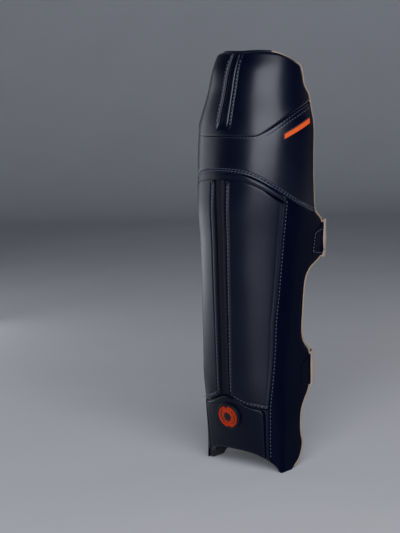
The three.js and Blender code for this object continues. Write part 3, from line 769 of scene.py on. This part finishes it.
def foldAt(column, row):
    height, turn = 380.0, 0.0
    for _ in range(7):
        turn = column * shinRange(height)[1]
        height = mix(shinTopAt(abs(turn)), below(kneeBandSeamAt, abs(turn)), row)
    ends = shoulder((1 - abs(column)) * 70, 6.0)
    crown = math.sin(math.pi * min(max(row, 0), 1)) ** 0.4
    foot = mix(*shinPanel["rollFoot"], creaseAt(turn))
    foot = mix(foot, shinPanel["rollTop"], easeIn(row * 2))
    ridged = mix(foot, shinPanel["rollWall"], crown * mix(0.3, 1, ends))
    plain = mix(shinPanel["frontTop"], shinPanel["frontBottom"], row)
    off = innerOff + mix(ridged, plain, flushAt(turn))
    # lightening on the roll's crown: rubbed wear and a painted highlight
    return onForm(turn, height, off), swell(row, 0.5, 0.25) * 0.6, arcOf(turn, height), height


panelColumns = spacedShares(60, 7.5, 8.5, 0.35, 2.2)
panelRows = spacedShares(278, 8.5, 6, 0.5, 3.0)
for side, word in sides:
    panel = layGrid(f"shin_pad_{word}", sideColumns(panelColumns, side), panelRows, shinAt(side))
    finishPanel(panel, shinPanel["skin"], panelLeather, f"shin_panel_{word}")
fold = layGrid("arch_fold", evenSteps(-1, 1, 110), evenSteps(0, 1, 18), foldAt)
finishPanel(fold, shinPanel["skin"], panelLeather, "arch_roll_right")
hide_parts("arch_roll_left")
print("shin panels and fold made")

# Centre strip: the floor of the channel
centreStrip = {
    "wall": 2.3, "skin": 1.0, "crown": 0.2, "reachDown": 1.2,
    "floorHalf": 5.2, "grooveDrop": 1.5, "ridgePlace": 4.4, "ridgeRise": 0.45,
}


def stripAt(column, row):
    foot = above(shinFootSeamAt, 0) - centreStrip["reachDown"]
    height = mix(foot, below(kneeBandSeamAt, 0), row)
    turn = column * (channelSideAt(height) - turnFor(seamGap / 2, height))
    across = arcOf(turn, height)
    off = centreStrip["wall"] + centreStrip["crown"] * (1 - column ** 2)
    off -= centreStrip["grooveDrop"] * easeIn((abs(across) - centreStrip["floorHalf"]) / 0.9)
    off += centreStrip["ridgeRise"] * swell(across, centreStrip["ridgePlace"], 0.9)
    off -= 0.6 * swell(row, 0, 0.02)
    # lightening on the ridge: rubbed wear and a painted highlight
    near = swell(across, centreStrip["ridgePlace"], 0.7)
    return onForm(turn, height, innerOff + off), near, across, height


strip = layGrid("channel_floor", evenSteps(-1, 1, 56), evenSteps(0, 1, 110), stripAt)
finishPanel(strip, centreStrip["skin"], stripLeather, "centre_strip")
print("centre strip made")

# Ankle plate, with a groove that frames its sunken middle
anklePlate = {
    "wall": 2.0, "skin": 0.9,
    "frame": 5.2, "frameTop": 1.6, "corner": 7.0, "grooveDepth": 1.8, "grooveWidth": 1.2,
    "pillow": 0.6, "frameRise": 0.9, "edge": 0.9, "least": 0.3, "narrower": 0.82,
    "emblemHeight": 0.1345 * tall,
}


def plateAt(column, row):
    height, turn = anklePlate["emblemHeight"], 0.0
    for _ in range(7):
        turn = column * (wingSeamAt(height) - turnFor(seamGap / 2, height))
        height = mix(floorAt(turn), below(shinFootSeamAt, abs(turn)), row)
    scale = arcOf(1, height) * anklePlate["narrower"]
    dSide = (wingSeamAt(height) - abs(turn)) * scale
    dTop = below(shinFootSeamAt, abs(turn)) - height
    dFoot = height - floorAt(turn)
    inX = dSide - anklePlate["frame"] - anklePlate["corner"]
    inY = dTop - anklePlate["frameTop"] - anklePlate["corner"]
    corner = math.hypot(min(inX, 0), min(inY, 0))
    inside = min(max(inX, 0), max(inY, 0)) + anklePlate["corner"] - corner
    off = rollUp(anklePlate, dFoot, 2.5)
    off += anklePlate["frameRise"] * (1 - easeIn((inside + 1.5) / 1.5)) * shoulder(dSide, 1.6)
    off -= anklePlate["grooveDepth"] * swell(inside, 0.0, anklePlate["grooveWidth"])
    off += anklePlate["pillow"] * swell(inside, 5, 5)
    # lightening at the foot and the frame ridge: rubbed wear and a painted highlight
    near = max(swell(dFoot, 0.8, 1.2), swell(inside, -1.6, 0.7))
    off = innerOff + max(off, anklePlate["least"])
    return onForm(turn, height, off), near, turn * scale, height


plateShares = spacedShares(112, 16, 16, 0.5, 2.4)
plate = layGrid("ankle_panel", [2 * share - 1 for share in plateShares],
                spacedShares(70, 6, 12, 0.5, 2.0), plateAt)
finishPanel(plate, anklePlate["skin"], ankleLeather, "ankle_plate")
print("ankle plate made")

# Wings: the side leather, from the shin to the rear edge
wingPanel = {
    "wall": 2.2, "skin": 0.9, "edge": 0.95, "tuck": 2.2, "stitchRow": 2.2, "stitchDip": 0.35,
    "rearRow": 4.0, "rearDip": 0.25,
}


def wingHeightAt(turn, level):
    seamHeight = legForm["seamZone"] * tall
    height = level * tall
    if height < legForm["footZone"] * tall:
        return wholeHeightAt(turn, level)
    if height <= seamHeight:
        return height
    share = (height - seamHeight) / (legForm["bandEdgeFoot"] * tall - seamHeight)
    return mix(seamHeight, below(kneeBandSeamAt, turn) + wingPanel["tuck"], share)


def wingPlace(column, level):
    def start(height):
        return wingSeamAt(height) + turnFor(seamGap / 2, height)
    return towardsEdge(start, column, lambda turn: wingHeightAt(turn, level))


def wingAt(side):
    def at(column, level):
        turn, height = wingPlace(column, level)
        scale = arcOf(1, height) * 0.8
        dSeam = (turn - wingSeamAt(height)) * scale - seamGap / 2
        dRear = max(rearTurnAt(height) - turn, 0)
        dTop = below(kneeBandSeamAt, turn) - height
        off = min(rollUp(wingPanel, dSeam, 1.5), rollUp(wingPanel, dRear, 1.8),
                  rollUp(wingPanel, dTop, 1.6))
        off -= wingPanel["stitchDip"] * swell(dSeam, wingPanel["stitchRow"], 0.65)
        off -= wingPanel["rearDip"] * swell(dRear, wingPanel["rearRow"], 0.7)
        near = max(swell(dSeam, 0.7, 1.0), swell(dRear, 0.6, 1.2))
        return onForm(side * turn, height, innerOff + off), near, side * turn * scale, height
    return at


wingColumns = spacedShares(60, 5, 7, 0.5, 2.4)
wingLevels = [share * legForm["bandEdgeFoot"] for share in spacedShares(335, 10, 4, 1.0, 2.2)]
for side, word in sides:
    wing = layGrid(f"wing_leather_{word}", sideColumns(wingColumns, side), wingLevels, wingAt(side))
    finishPanel(wing, wingPanel["skin"], wingLeather, f"wing_{word}")
print("wings made")

# Padding: the outer face lies under the leather, the inner one is quilted
paddingBody = {
    "wall": 7.0, "rimRound": 3.0, "rimDrop": 1.6, "topRoll": 9.5, "topDrop": 5.2,
    "quiltTurn": 17.0, "quiltRise": 46.0, "quiltDepth": 1.5, "quiltWidth": 2.2,
    "quiltClear": 6.0, "quiltFade": 10.0, "turnLength": 1.25, "topWall": 1.4,
}


def paddingPlace(column, level):
    return onColumn(column, lambda turn: wholeHeightAt(turn, level))


def paddingAt(face):
    def at(column, level):
        turn, height = paddingPlace(column, level)
        low, high = floorAt(turn), roofAt(turn)
        dRim = min(height - low, max(rearTurnAt(height) - turn, 0))
        drop = paddingBody["rimDrop"] * (1 - shoulder(dRim, paddingBody["rimRound"]))
        roll = paddingBody["topDrop"] * (1 - shoulder(high - height, paddingBody["topRoll"]))
        off = -max(drop, roll)
        if face == 0:
            across = turn % paddingBody["quiltTurn"]
            across = min(across, paddingBody["quiltTurn"] - across) * paddingBody["turnLength"]
            up = height % paddingBody["quiltRise"]
            up = min(up, paddingBody["quiltRise"] - up)
            seam = max(swell(across, 0, paddingBody["quiltWidth"]),
                       swell(up, 0, paddingBody["quiltWidth"]))
            clear = min(dRim, high - height) - paddingBody["quiltClear"]
            seam *= easeIn(clear / paddingBody["quiltFade"])
            off = -paddingBody["wall"] + drop * (roll < 1) + paddingBody["quiltDepth"] * seam
            if roll > 3:
                off = min(off, -paddingBody["topDrop"] - paddingBody["topWall"])
        arc = column[2] * arcOf(turn, height)
        return onForm(column[2] * turn, height, off), 0.0, arc, height
    return at


paddingColumns = wrapColumns(evenSteps(0, fullTurn, 46), evenSteps(0, 1, 24)[1:-1] + [0.975, 1.0])
paddingLevels = [share * legForm["wingTop"] for share in spacedShares(512, 6, 6, 1.0, 2.8)]
outerFace = layGrid("quilted_padding", paddingColumns, paddingLevels, paddingAt(1))
innerFace = layGrid("padding_inside", paddingColumns, paddingLevels, paddingAt(0))
intoEdit()
bpy.ops.mesh.flip_normals()
outOfEdit()
padding = joinPieces((outerFace, innerFace), "quilted_padding")
intoEdit("DESELECT", "EDGE")
bpy.ops.mesh.select_non_manifold()
bpy.ops.mesh.bridge_edge_loops()
outOfEdit()
dress(padding, liningCloth)
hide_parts("inner_padding")
smoothShade(padding, 60)
print("padding made")

# Piping along the rear edges, coloured tan as a painted warm rim light, and the dark binding along
# the front of the top rim
edgePiping = {
    "radius": 1.35, "clear": 2.1, "off": innerOff + 0.7, "endTurn": 50.0,
    "topClear": 0.5, "topOff": -3.3,
}


def addCord(name, points, radius):
    line = bpy.data.curves.new(name, "CURVE")
    line.dimensions = "3D"
    line.bevel_depth = radius * mm
    line.bevel_resolution = 4
    line.use_fill_caps = True
    spline = line.splines.new("POLY")
    spline.points.add(len(points) - 1)
    for point, target in zip(spline.points, points):
        point.co = (*target, 1)
    pickOnly(putInScene(name, line))
    bpy.ops.object.convert(target="MESH")
    return bpy.context.object


def pipingPath(side):
    rim = [(rearTurnAt(height), height) for height in range(4, int(legForm["wingTop"] * tall), 2)]
    points = []
    for i, (turn, height) in enumerate(rim):
        before, after = rim[max(i - 1, 0)], rim[min(i + 1, len(rim) - 1)]
        along = Vector((after[0] - before[0], after[1] - before[1])).normalized()
        along *= edgePiping["clear"]
        points.append((turn + along.y, height - along.x))
    offs = [edgePiping["off"]] * len(points)
    topTurn, topHeight = points[-1]
    for step in range(1, 26):
        turn = mix(topTurn, edgePiping["endTurn"], step / 25)
        target = roofAt(turn) + edgePiping["topClear"]
        points.append((turn, mix(max(topHeight, target), target, easeIn(step / 6))))
        offs.append(mix(edgePiping["off"], edgePiping["topOff"], easeIn(step / 7)))
    laid = [onForm(side * turn, max(height, edgePiping["radius"]), off)
            for (turn, height), off in zip(points, offs)]
    return laid[:1] + [point for before, point in zip(laid, laid[1:])
                       if (point - before).length > 0.5 * mm]


# the piping's tan colour is a painted warm rim light
for side, word in sides:
    cord = addCord(f"painted_rim_light_piping_{word}", pipingPath(side), edgePiping["radius"])
    dress(cord, paintedRimLightPiping)
    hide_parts(f"edge_piping_{word}")
    smoothShade(cord, 60)
bindingEnd = edgePiping["endTurn"] - 0.6
bindingPath = [onForm(turn, roofAt(turn) + edgePiping["topClear"], edgePiping["topOff"])
               for turn in evenSteps(-bindingEnd, bindingEnd, 80)]
binding = addCord("rim_binding", bindingPath, edgePiping["radius"])
dress(binding, bindingLeather)
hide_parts("top_binding")
smoothShade(binding, 60)
print("piping and binding made")

# Straps: webbing that laps onto the wings and runs round behind the leg; its tan colour is a
# painted warm rim light
strapMake = {
    "lap": 17.0, "taper": 0.9, "wall": 2.2, "skin": 0.9, "pass": 6.0, "passSlope": 10.0,
    "startBack": 12.0, "clearEdge": 1.2, "slopeRow": 0.17, "bendLength": 1.1,
    "ribs": 7, "ribDepth": 0.18, "webDrop": 0.25, "borderShare": 0.03,
    "patchPast": 3.6, "patchHigh": (0.56, 0.92), "patchDrop": (4.0, 0.0), "patchOff": 3.3,
    "patchSkin": 0.45, "patchRise": 0.5, "patchEdge": 0.6, "patchRoll": 2.2,
    "upper": {"level": 0.549, "height": 50.0, "reach": 24.3, "reachSlope": -24.0},
    "lower": {"level": 0.232, "height": 46.0, "reach": 25.9, "reachSlope": -6.0},
}
strapInner = innerOff + wingPanel["wall"] + seamLines["layerGap"]


# From under the patch's end to the straight pass, then round behind the leg
def strapStations():
    start = [("pass", share) for share in evenSteps(0, 1, 8)]
    bend = [("bend", angle) for angle in evenSteps(0, 90, 30)[1:]]
    return start + bend


def strapAt(make):
    middle = make["level"] * tall
    passEnd = rearTurnAt(middle) + strapMake["pass"]

    def at(station, row):
        kind, value, side = station
        passed = value if kind == "pass" else 1.0
        height = middle + make["height"] * row * mix(strapMake["taper"], 1, easeIn(passed))
        last = passEnd - strapMake["passSlope"] * max(row, 0)
        start = max(rearTurnAt(height) + strapMake["clearEdge"], passEnd - strapMake["startBack"])
        turn = mix(start, last, passed)
        rib = abs(math.sin(math.pi * strapMake["ribs"] * (row + 0.5)))
        off = strapMake["wall"] - strapMake["webDrop"] - strapMake["ribDepth"] * (1 - rib)
        inner = (0.5 - abs(row)) / strapMake["borderShare"]
        off = mix(strapMake["wall"] * 0.6, off, shoulder(inner, 1.0))
        off = mix(strapMake["patchOff"] - strapMake["skin"], strapInner + off,
                  easeIn(passed * 1.4))
        point = formPoint(turn, height, off)
        along = strapMake["pass"] * passed
        if kind == "bend":
            angle = math.radians(value)
            reach = make["reach"] + make["reachSlope"] * (row + strapMake["slopeRow"])
            point.y += (reach - strapMake["pass"] + off) * math.sin(angle)
            point.x *= math.cos(angle)
            along += value * strapMake["bendLength"]
        point.x *= side
        near = swell(0.5 - abs(row), 0, strapMake["borderShare"])
        return placed(point), near, along * side, row * make["height"]
    return at


half = strapStations()
stations = [(kind, value, 1) for kind, value in half]
stations += [(kind, value, -1) for kind, value in reversed(half) if (kind, value) != ("bend", 90.0)]
strapRows = [share - 0.5 for share in spacedShares(46, 2, 2, 0.5, 0.8)]
for word in ("upper", "lower"):
    strap = layGrid(f"{word}_webbing", stations, strapRows, strapAt(strapMake[word]))
    finishPanel(strap, strapMake["skin"], paintedRimLightWebbing, f"{word}_strap")


# The leather patch that each strap end is sewn under
def patchPlace(make, share, row):
    middle = make["level"] * tall
    high = make["height"] * mix(*strapMake["patchHigh"], share)
    height = middle - mix(*strapMake["patchDrop"], share) + high * row
    front = rearTurnAt(middle) - strapMake["lap"]
    return mix(front, rearTurnAt(height) + strapMake["patchPast"], share), height, high


def patchLift(share):
    return strapMake["patchOff"] + strapMake["patchRise"] * easeIn((share - 0.7) / 0.3)


def patchAt(make, side):
    def at(share, row):
        turn, height, high = patchPlace(make, share, row)
        long = strapMake["lap"] + strapMake["patchPast"]
        near = min((0.5 - abs(row)) * high, share * long)
        edge = 1 - shoulder(near, strapMake["patchRoll"])
        off = patchLift(share) - strapMake["patchEdge"] * edge
        return onForm(side * turn, height, off), 0.0, turn, height
    return at


for word in ("upper", "lower"):
    for side, hand in sides:
        make = strapMake[word]
        rows = [share - 0.5 for share in spacedShares(30, 3, 3, 0.5, 1.5)]
        patch = layGrid(f"{word}_patch_{hand}", sideColumns(spacedShares(17, 3, 3, 0.5, 1.5), side),
                        rows, patchAt(make, side))
        finishPanel(patch, strapMake["patchSkin"], wingLeather, None)
print("straps and patches made")

# Stitches: one short thread modelled once, then laid along each sewn line
threadMake = {
    "length": 2.6, "pitch": 4.7, "radius": 0.45, "patchPitch": 4.2,
    "bandFootOff": 2.6, "bandTopOff": 2.45, "bandSideOff": 2.6, "capOff": 4.2,
    "patchSeat": 0.05, "shinOff": 5.05, "shinFootOff": 5.25, "shinSink": 1.5, "wingOff": 1.95,
}


# A ball of unit radius pressed to three half sizes
def addBead(segments, rings, halfSizes):
    bpy.ops.object.select_all(action="DESELECT")
    bpy.ops.mesh.primitive_uv_sphere_add(segments=segments, ring_count=rings, radius=1)
    intoEdit()
    bpy.ops.transform.resize(value=halfSizes)
    outOfEdit()
    return bpy.context.object


threadRadius = threadMake["radius"] * mm
thread = addBead(8, 5, (threadRadius, threadRadius, threadMake["length"] / 2 * mm))


# Lays threads along a line of turn, height and off
def stitchAlong(line, pitch=None):
    points = [onForm(*place) for place in line]
    outer = [onForm(turn, height, off + 1) for turn, height, off in line]
    step = (pitch or threadMake["pitch"]) * mm
    made = []
    travelled, target = 0.0, step * 0.5
    for i in range(len(points) - 1):
        run = points[i + 1] - points[i]
        length = run.length
        while length > 0 and travelled + length >= target:
            share = (target - travelled) / length
            place = points[i].lerp(points[i + 1], share)
            along = run.normalized()
            out = (outer[i] - points[i]).normalized()
            across = along.cross(out).normalized()
            out = across.cross(along).normalized()
            turned = Matrix((across, out, along)).transposed().to_4x4()
            copy = putInScene("thread", thread.data.copy())
            copy.data.transform(Matrix.Translation(place) @ turned)
            made.append(copy)
            target += step
        travelled += length
    return made


def finishStitches(name, made):
    piece = joinPieces(made, name)
    dress(piece, paleThread)
    smoothShade(piece, 60)


def wrapLine(lineHeight, firstTurn, lastTurn, off, steps=160):
    return [(turn, lineHeight(abs(turn)), off) for turn in evenSteps(firstTurn, lastTurn, steps)]


def rearLimit(lineHeight, inset):
    turn = 90.0
    for _ in range(12):
        turn = rearTurnAt(lineHeight(turn)) - inset
    return turn


bandStitches = []
for place in kneeBand["footRows"]:
    def footRow(turn, place=place):
        return above(kneeBandSeamAt, turn) + place
    end = rearLimit(footRow, 2.5)
    off = innerOff + threadMake["bandFootOff"]
    bandStitches += stitchAlong(wrapLine(footRow, -end, end, off))


def topRow(turn):
    return below(kneeCapSeamAt, turn) - kneeBand["topRow"]


def sideRow(turn):
    return below(kneeCapSeamAt, turn) - kneeBand["sideRow"]


end = rearLimit(topRow, 2.5)
bandStitches += stitchAlong(wrapLine(topRow, -end, end, innerOff + threadMake["bandTopOff"]))
end = rearLimit(sideRow, 2.5)
for side in (1, -1):
    start = kneeBand["sideRowTurn"] + 3
    off = innerOff + threadMake["bandSideOff"]
    bandStitches += stitchAlong(wrapLine(sideRow, side * start, side * end, off, 60))
finishStitches("band_stitching", bandStitches)

capStitches = []
for side in (1, -1):
    line = []
    for height in evenSteps(kneeCap["channelFoot"] + 7, tall - 9, 60):
        beadTurn = channelSideAt(height) + turnFor(kneeCap["beadPlace"], height)
        line.append((side * beadTurn, height, innerOff + threadMake["capOff"]))
    capStitches += stitchAlong(line)
finishStitches("cap_stitching", capStitches)

patchStitches = []
corners = ((0.9, 0.27), (0.06, 0.42), (0.06, -0.42), (0.9, -0.44))
for side in (1, -1):
    path = []
    for (shareA, rowA), (shareB, rowB) in zip(corners, corners[1:]):
        for step in evenSteps(0, 1, 20):
            share = mix(shareA, shareB, step)
            turn, height = patchPlace(strapMake["upper"], share, mix(rowA, rowB, step))[:2]
            path.append((side * turn, height, patchLift(share) + threadMake["patchSeat"]))
    patchStitches += stitchAlong(path, threadMake["patchPitch"])
finishStitches("patch_stitching", patchStitches)

for side, word in sides:
    line = []
    for row in evenSteps(0.02, 0.985, 200):
        turn, height = shinPlace(shinPanel["beadPlace"] / shinPanel["nominal"], row)
        low = 1 - easeIn((shinTopAt(turn) - height) / shinPanel["frontSlope"])
        off = threadMake["shinOff"] - threadMake["shinSink"] * low * flushAt(side * turn)
        line.append((side * turn, height, innerOff + off))
    rows = stitchAlong(line)
    line = []
    for column in evenSteps(0.09, 0.95, 80):
        turn, height = shinPlace(column, 0.0)
        line.append((side * turn, height + shinPanel["footRow"],
                     innerOff + threadMake["shinFootOff"]))
    rows += stitchAlong(line)
    finishStitches(f"shin_stitching_{word}", rows)
    line = []
    for level in evenSteps(0.012, legForm["bandEdgeFoot"] - 0.008, 220):
        turn, height = wingPlace(0.0, level)
        turn += turnFor(wingPanel["stitchRow"] / 0.8, height)
        line.append((side * turn, height, innerOff + threadMake["wingOff"]))
    finishStitches(f"wing_stitching_{word}", stitchAlong(line))
bpy.data.objects.remove(thread)
print("stitches made")

# Emblem: a dark ring round an orange disc with a plain rosette
emblem = {
    "radius": 17.6, "thick": 2.8, "rim": 2.5, "sink": 0.9, "backReach": 1.7, "bevel": 0.55,
    "discRadius": 14.6, "discRise": 0.9, "discDrop": 0.5, "discBorder": 1.1, "discBevel": 0.2,
    "discSeat": 0.05,
    "middleBorder": 4.6, "middleRise": 0.3,
    "petals": 8, "petalLong": 2.7, "petalWide": 1.7, "petalPlace": 4.1,
    "dashes": 9, "dashSpread": 0.19, "dashWide": 0.75, "dashLong": 2.4, "dashPlace": 10.9,
    "notchWide": 5.4,
}
plateOff = innerOff + anklePlate["wall"] + seamLines["layerGap"]
emblemHeight = anklePlate["emblemHeight"]
emblemFoot = onForm(0, emblemHeight, plateOff)
emblemUp = (onForm(0, emblemHeight + emblem["radius"], plateOff)
            - onForm(0, emblemHeight - emblem["radius"], plateOff)).normalized()
emblemOut = -emblemUp.cross(Vector((1, 0, 0)))
emblemTurn = Matrix((Vector((1, 0, 0)), emblemUp, emblemOut)).transposed().to_4x4()
emblemPlace = Matrix.Translation(emblemFoot) @ emblemTurn


def seatOnPlate(piece):
    piece.data.transform(Matrix.Scale(mm, 4))
    piece.data.transform(emblemPlace)


def addRound(name, vertices, radius, low, high):
    bpy.ops.object.select_all(action="DESELECT")
    bpy.ops.mesh.primitive_cylinder_add(vertices=vertices, radius=radius, depth=high - low,
                                        location=(0, 0, (low + high) / 2))
    piece = bpy.context.object
    piece.name = name
    bpy.ops.object.transform_apply(location=True, rotation=True, scale=True)
    return piece


# Selects the face that lies flat at a height
def selectTop(piece, height):
    intoEdit("DESELECT", "FACE")
    outOfEdit()
    for face in piece.data.polygons:
        face.select = abs(face.center.z - height) < 1e-4 and face.normal.z > 0.9
    bpy.ops.object.mode_set(mode="EDIT")


# Insets the selected face and moves what is inside up or down
def insetAndMove(border, rise):
    bpy.ops.mesh.inset(thickness=border, depth=0)
    bpy.ops.mesh.extrude_region_move(TRANSFORM_OT_translate={"value": (0, 0, rise)})


def finishRound(piece, bevel, segments, material, node):
    outOfEdit()
    finishModifier(piece, "BEVEL", width=bevel, segments=segments, limit_method="ANGLE")
    seatOnPlate(piece)
    dress(piece, material)
    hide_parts(node)
    smoothShade(piece)


ring = addRound("emblem_bezel", 72, emblem["radius"], -emblem["backReach"], emblem["thick"])
selectTop(ring, emblem["thick"])
insetAndMove(emblem["rim"], -emblem["sink"])
finishRound(ring, emblem["bevel"], 3, emblemDark, "emblem_ring")

top = emblem["thick"] + emblem["discRise"]
disc = addRound("emblem_face", 72, emblem["discRadius"],
                emblem["thick"] - emblem["sink"] + emblem["discSeat"], top)
selectTop(disc, top)
insetAndMove(emblem["discBorder"], -emblem["discDrop"])
insetAndMove(emblem["middleBorder"], emblem["middleRise"])
finishRound(disc, emblem["discBevel"], 2, emblemOrange, "emblem_disc")

marks = []


# A flattened bead of the rosette, laid flat and turned about the middle
def addMark(long, wide, high, place, angle, level):
    mark = addBead(12, 6, (wide, long, high))
    mark.data.transform(Matrix.Rotation(angle, 4, "Z") @ Matrix.Translation((0, place, level)))
    marks.append(mark)


floorLevel = top - emblem["discDrop"]
middleLevel = floorLevel + emblem["middleRise"]
addMark(1.9, 1.9, 0.35, 0, 0, middleLevel)
for step in range(emblem["petals"]):
    angle = 2 * math.pi * step / emblem["petals"]
    addMark(emblem["petalLong"], emblem["petalWide"], 0.3, emblem["petalPlace"], angle,
            middleLevel)
for step in range(emblem["dashes"]):
    for side in (1, -1):
        angle = side * (math.pi / 2 + (step - emblem["dashes"] // 2) * emblem["dashSpread"])
        addMark(emblem["dashLong"] / 2, emblem["dashWide"], 0.3, emblem["dashPlace"], angle,
                floorLevel)
for angle in (0, math.pi):
    addMark(1.5, emblem["notchWide"] / 2, 0.25, emblem["discRadius"] - 0.7, angle, top - 0.1)
rosette = joinPieces(marks, "emblem_rosette")
seatOnPlate(rosette)
dress(rosette, emblemDark)
smoothShade(rosette, 60)
print("emblem made")

# Side tag: a ribbed bar on a thin base
sideTag = {
    "level": 0.8205, "turn": 76.0, "slope": 25.5, "long": 36.0, "high": 6.0, "thick": 1.2,
    "border": 1.4, "baseThick": 1.0, "ribs": 15, "ribDepth": 0.55, "ribRim": 0.7, "ribSlant": 0.12,
    "edge": 0.4, "baseEdge": 0.6,
}
tagBaseHigh = sideTag["high"] + 2 * sideTag["border"]
tagBaseLow = innerOff + kneeBand["wall"] + seamLines["layerGap"]
tagLow = tagBaseLow + sideTag["baseThick"] + seamLines["layerGap"]


def tagAt(long, high, relief):
    def at(column, row):
        along = column * long
        middle = sideTag["level"] * tall
        turn = sideTag["turn"] + math.degrees(along / depthAt(middle))
        height = middle + along * math.tan(math.radians(sideTag["slope"])) + row * high
        return onForm(turn, height, relief(column, row)), 0.0, along, row * high
    return at


def baseRelief(column, row):
    rolled = shoulder((0.5 - abs(row)) * tagBaseHigh, 0.8)
    return tagBaseLow + mix(sideTag["baseEdge"], sideTag["baseThick"], rolled)


def tagRelief(column, row):
    rim = min((0.5 - abs(row)) * sideTag["high"], (0.5 - abs(column)) * sideTag["long"])
    slanted = column + row * sideTag["ribSlant"]
    rib = 0.5 + 0.5 * math.cos(2 * math.pi * sideTag["ribs"] * slanted)
    depth = sideTag["ribDepth"] * (1 - rib ** 0.6) if rim > sideTag["ribRim"] else 0
    return tagLow + mix(sideTag["edge"], sideTag["thick"], shoulder(rim, 0.5)) - depth


tagBase = layGrid("tag_backing", evenSteps(-0.5, 0.5, 40),
                  [share - 0.5 for share in spacedShares(8.8, 1.2, 1.2, 0.2, 0.8)],
                  tagAt(sideTag["long"] + 2 * sideTag["border"], tagBaseHigh, baseRelief))
finishPanel(tagBase, 0.9, tagEdge, "side_tag_base")
tag = layGrid("tag_bar", evenSteps(-0.5, 0.5, 180),
              [share - 0.5 for share in spacedShares(6, 1.2, 1.2, 0.2, 0.6)],
              tagAt(sideTag["long"], sideTag["high"], tagRelief))
finishPanel(tag, 1.0, tagOrange, "side_tag")
print("tag made")

# Floor and backdrop, one swept sheet
studio = {"floorSize": 7.0, "wallHigh": 4.0, "bend": 0.9}
bpy.ops.object.select_all(action="DESELECT")
bpy.ops.mesh.primitive_plane_add(size=studio["floorSize"], location=(0, 0, 0))
backdrop = bpy.context.object
backdrop.name = "studio_floor"
intoEdit("DESELECT", "EDGE")
outOfEdit()
for edge in backdrop.data.edges:
    ends = [backdrop.data.vertices[index].co for index in edge.vertices]
    edge.select = all(end.y > 1 for end in ends)
bpy.ops.object.mode_set(mode="EDIT")
bpy.ops.mesh.extrude_region_move(TRANSFORM_OT_translate={"value": (0, 0, studio["wallHigh"])})
outOfEdit()
finishModifier(backdrop, "BEVEL", width=studio["bend"], segments=16, limit_method="ANGLE")
backdrop.data.transform(Matrix.Rotation(math.radians(40), 4, "Z"))
paleFloor = coatedMaterial("paleFloor", (0.52, 0.53, 0.55), (0.47, 0.48, 0.50), 0.6, 6, 0.2, 0.2)
backdrop.data.materials.append(paleFloor)
smoothShade(backdrop, 60)

# Light: a wide soft box above the camera, two dim ones at the left, a thin one behind
lightBoxes = [
    {"name": "leftBox", "azimuth": -75, "far": 1.6, "high": 0.42, "size": (1.5, 0.9),
     "power": 6.6, "color": (0.87, 0.88, 1.0)},
    {"name": "lowBox", "azimuth": -80, "far": 1.0, "high": 0.12, "size": (1.1, 0.22),
     "power": 1.1, "color": (0.87, 0.88, 1.0)},
    {"name": "frontBox", "azimuth": 47, "far": 2.0, "high": 1.16, "size": (2.6, 1.9),
     "power": 88, "color": (0.88, 0.89, 1.0)},
    {"name": "rimBox", "azimuth": 165, "far": 1.4, "high": 0.6, "size": (0.4, 1.4),
     "power": 3, "color": (1.0, 0.93, 0.84)},
]
for box in lightBoxes:
    light = bpy.data.lights.new(box["name"], "AREA")
    light.shape = "RECTANGLE"
    light.size, light.size_y = box["size"]
    light.energy = box["power"]
    light.color = box["color"]
    lamp = putInScene(box["name"], light)
    lamp.visible_camera = False
    angle = math.radians(box["azimuth"])
    lamp.location = (math.sin(angle) * box["far"], -math.cos(angle) * box["far"], box["high"])
    lamp.rotation_euler = (Vector((0, 0, 0.27)) - lamp.location).to_track_quat("-Z", "Y").to_euler()
world = bpy.data.worlds.new("studioWorld")
world.use_nodes = True
feed(world.node_tree, world.node_tree.nodes["Background"],
     {"Color": (0.75, 0.8, 0.9, 1), "Strength": 0.04})
bpy.context.scene.world = world

# Camera: as far, as high and as turned as the photograph's
cameraPlace = {"azimuth": 40.0, "far": 1.739, "high": 0.530, "pan": 2.575, "down": 8.9,
               "roll": -2.0, "beside": -0.0017, "lens": 1358 * 36 / 533}
around = math.radians(cameraPlace["azimuth"])
heading = around + math.radians(cameraPlace["pan"])
down, roll = math.radians(cameraPlace["down"]), math.radians(cameraPlace["roll"])
forward = Vector((-math.sin(heading) * math.cos(down), math.cos(heading) * math.cos(down),
                  -math.sin(down)))
level = Vector((math.cos(heading), math.sin(heading), 0))
upward = level.cross(forward)
cameraRight = level * math.cos(roll) + upward * math.sin(roll)
cameraUp = upward * math.cos(roll) - level * math.sin(roll)
cameraData = bpy.data.cameras.new("photoCamera")
cameraData.lens = cameraPlace["lens"]
cameraData.sensor_width = 36
camera = putInScene("photoCamera", cameraData)
turned = Matrix((cameraRight, cameraUp, -forward)).transposed().to_4x4()
camera.matrix_world = Matrix.Translation((
    math.sin(around) * cameraPlace["far"],
    -math.cos(around) * cameraPlace["far"] + cameraPlace["beside"],
    cameraPlace["high"])) @ turned
bpy.context.scene.camera = camera
print("studio, light and camera set")
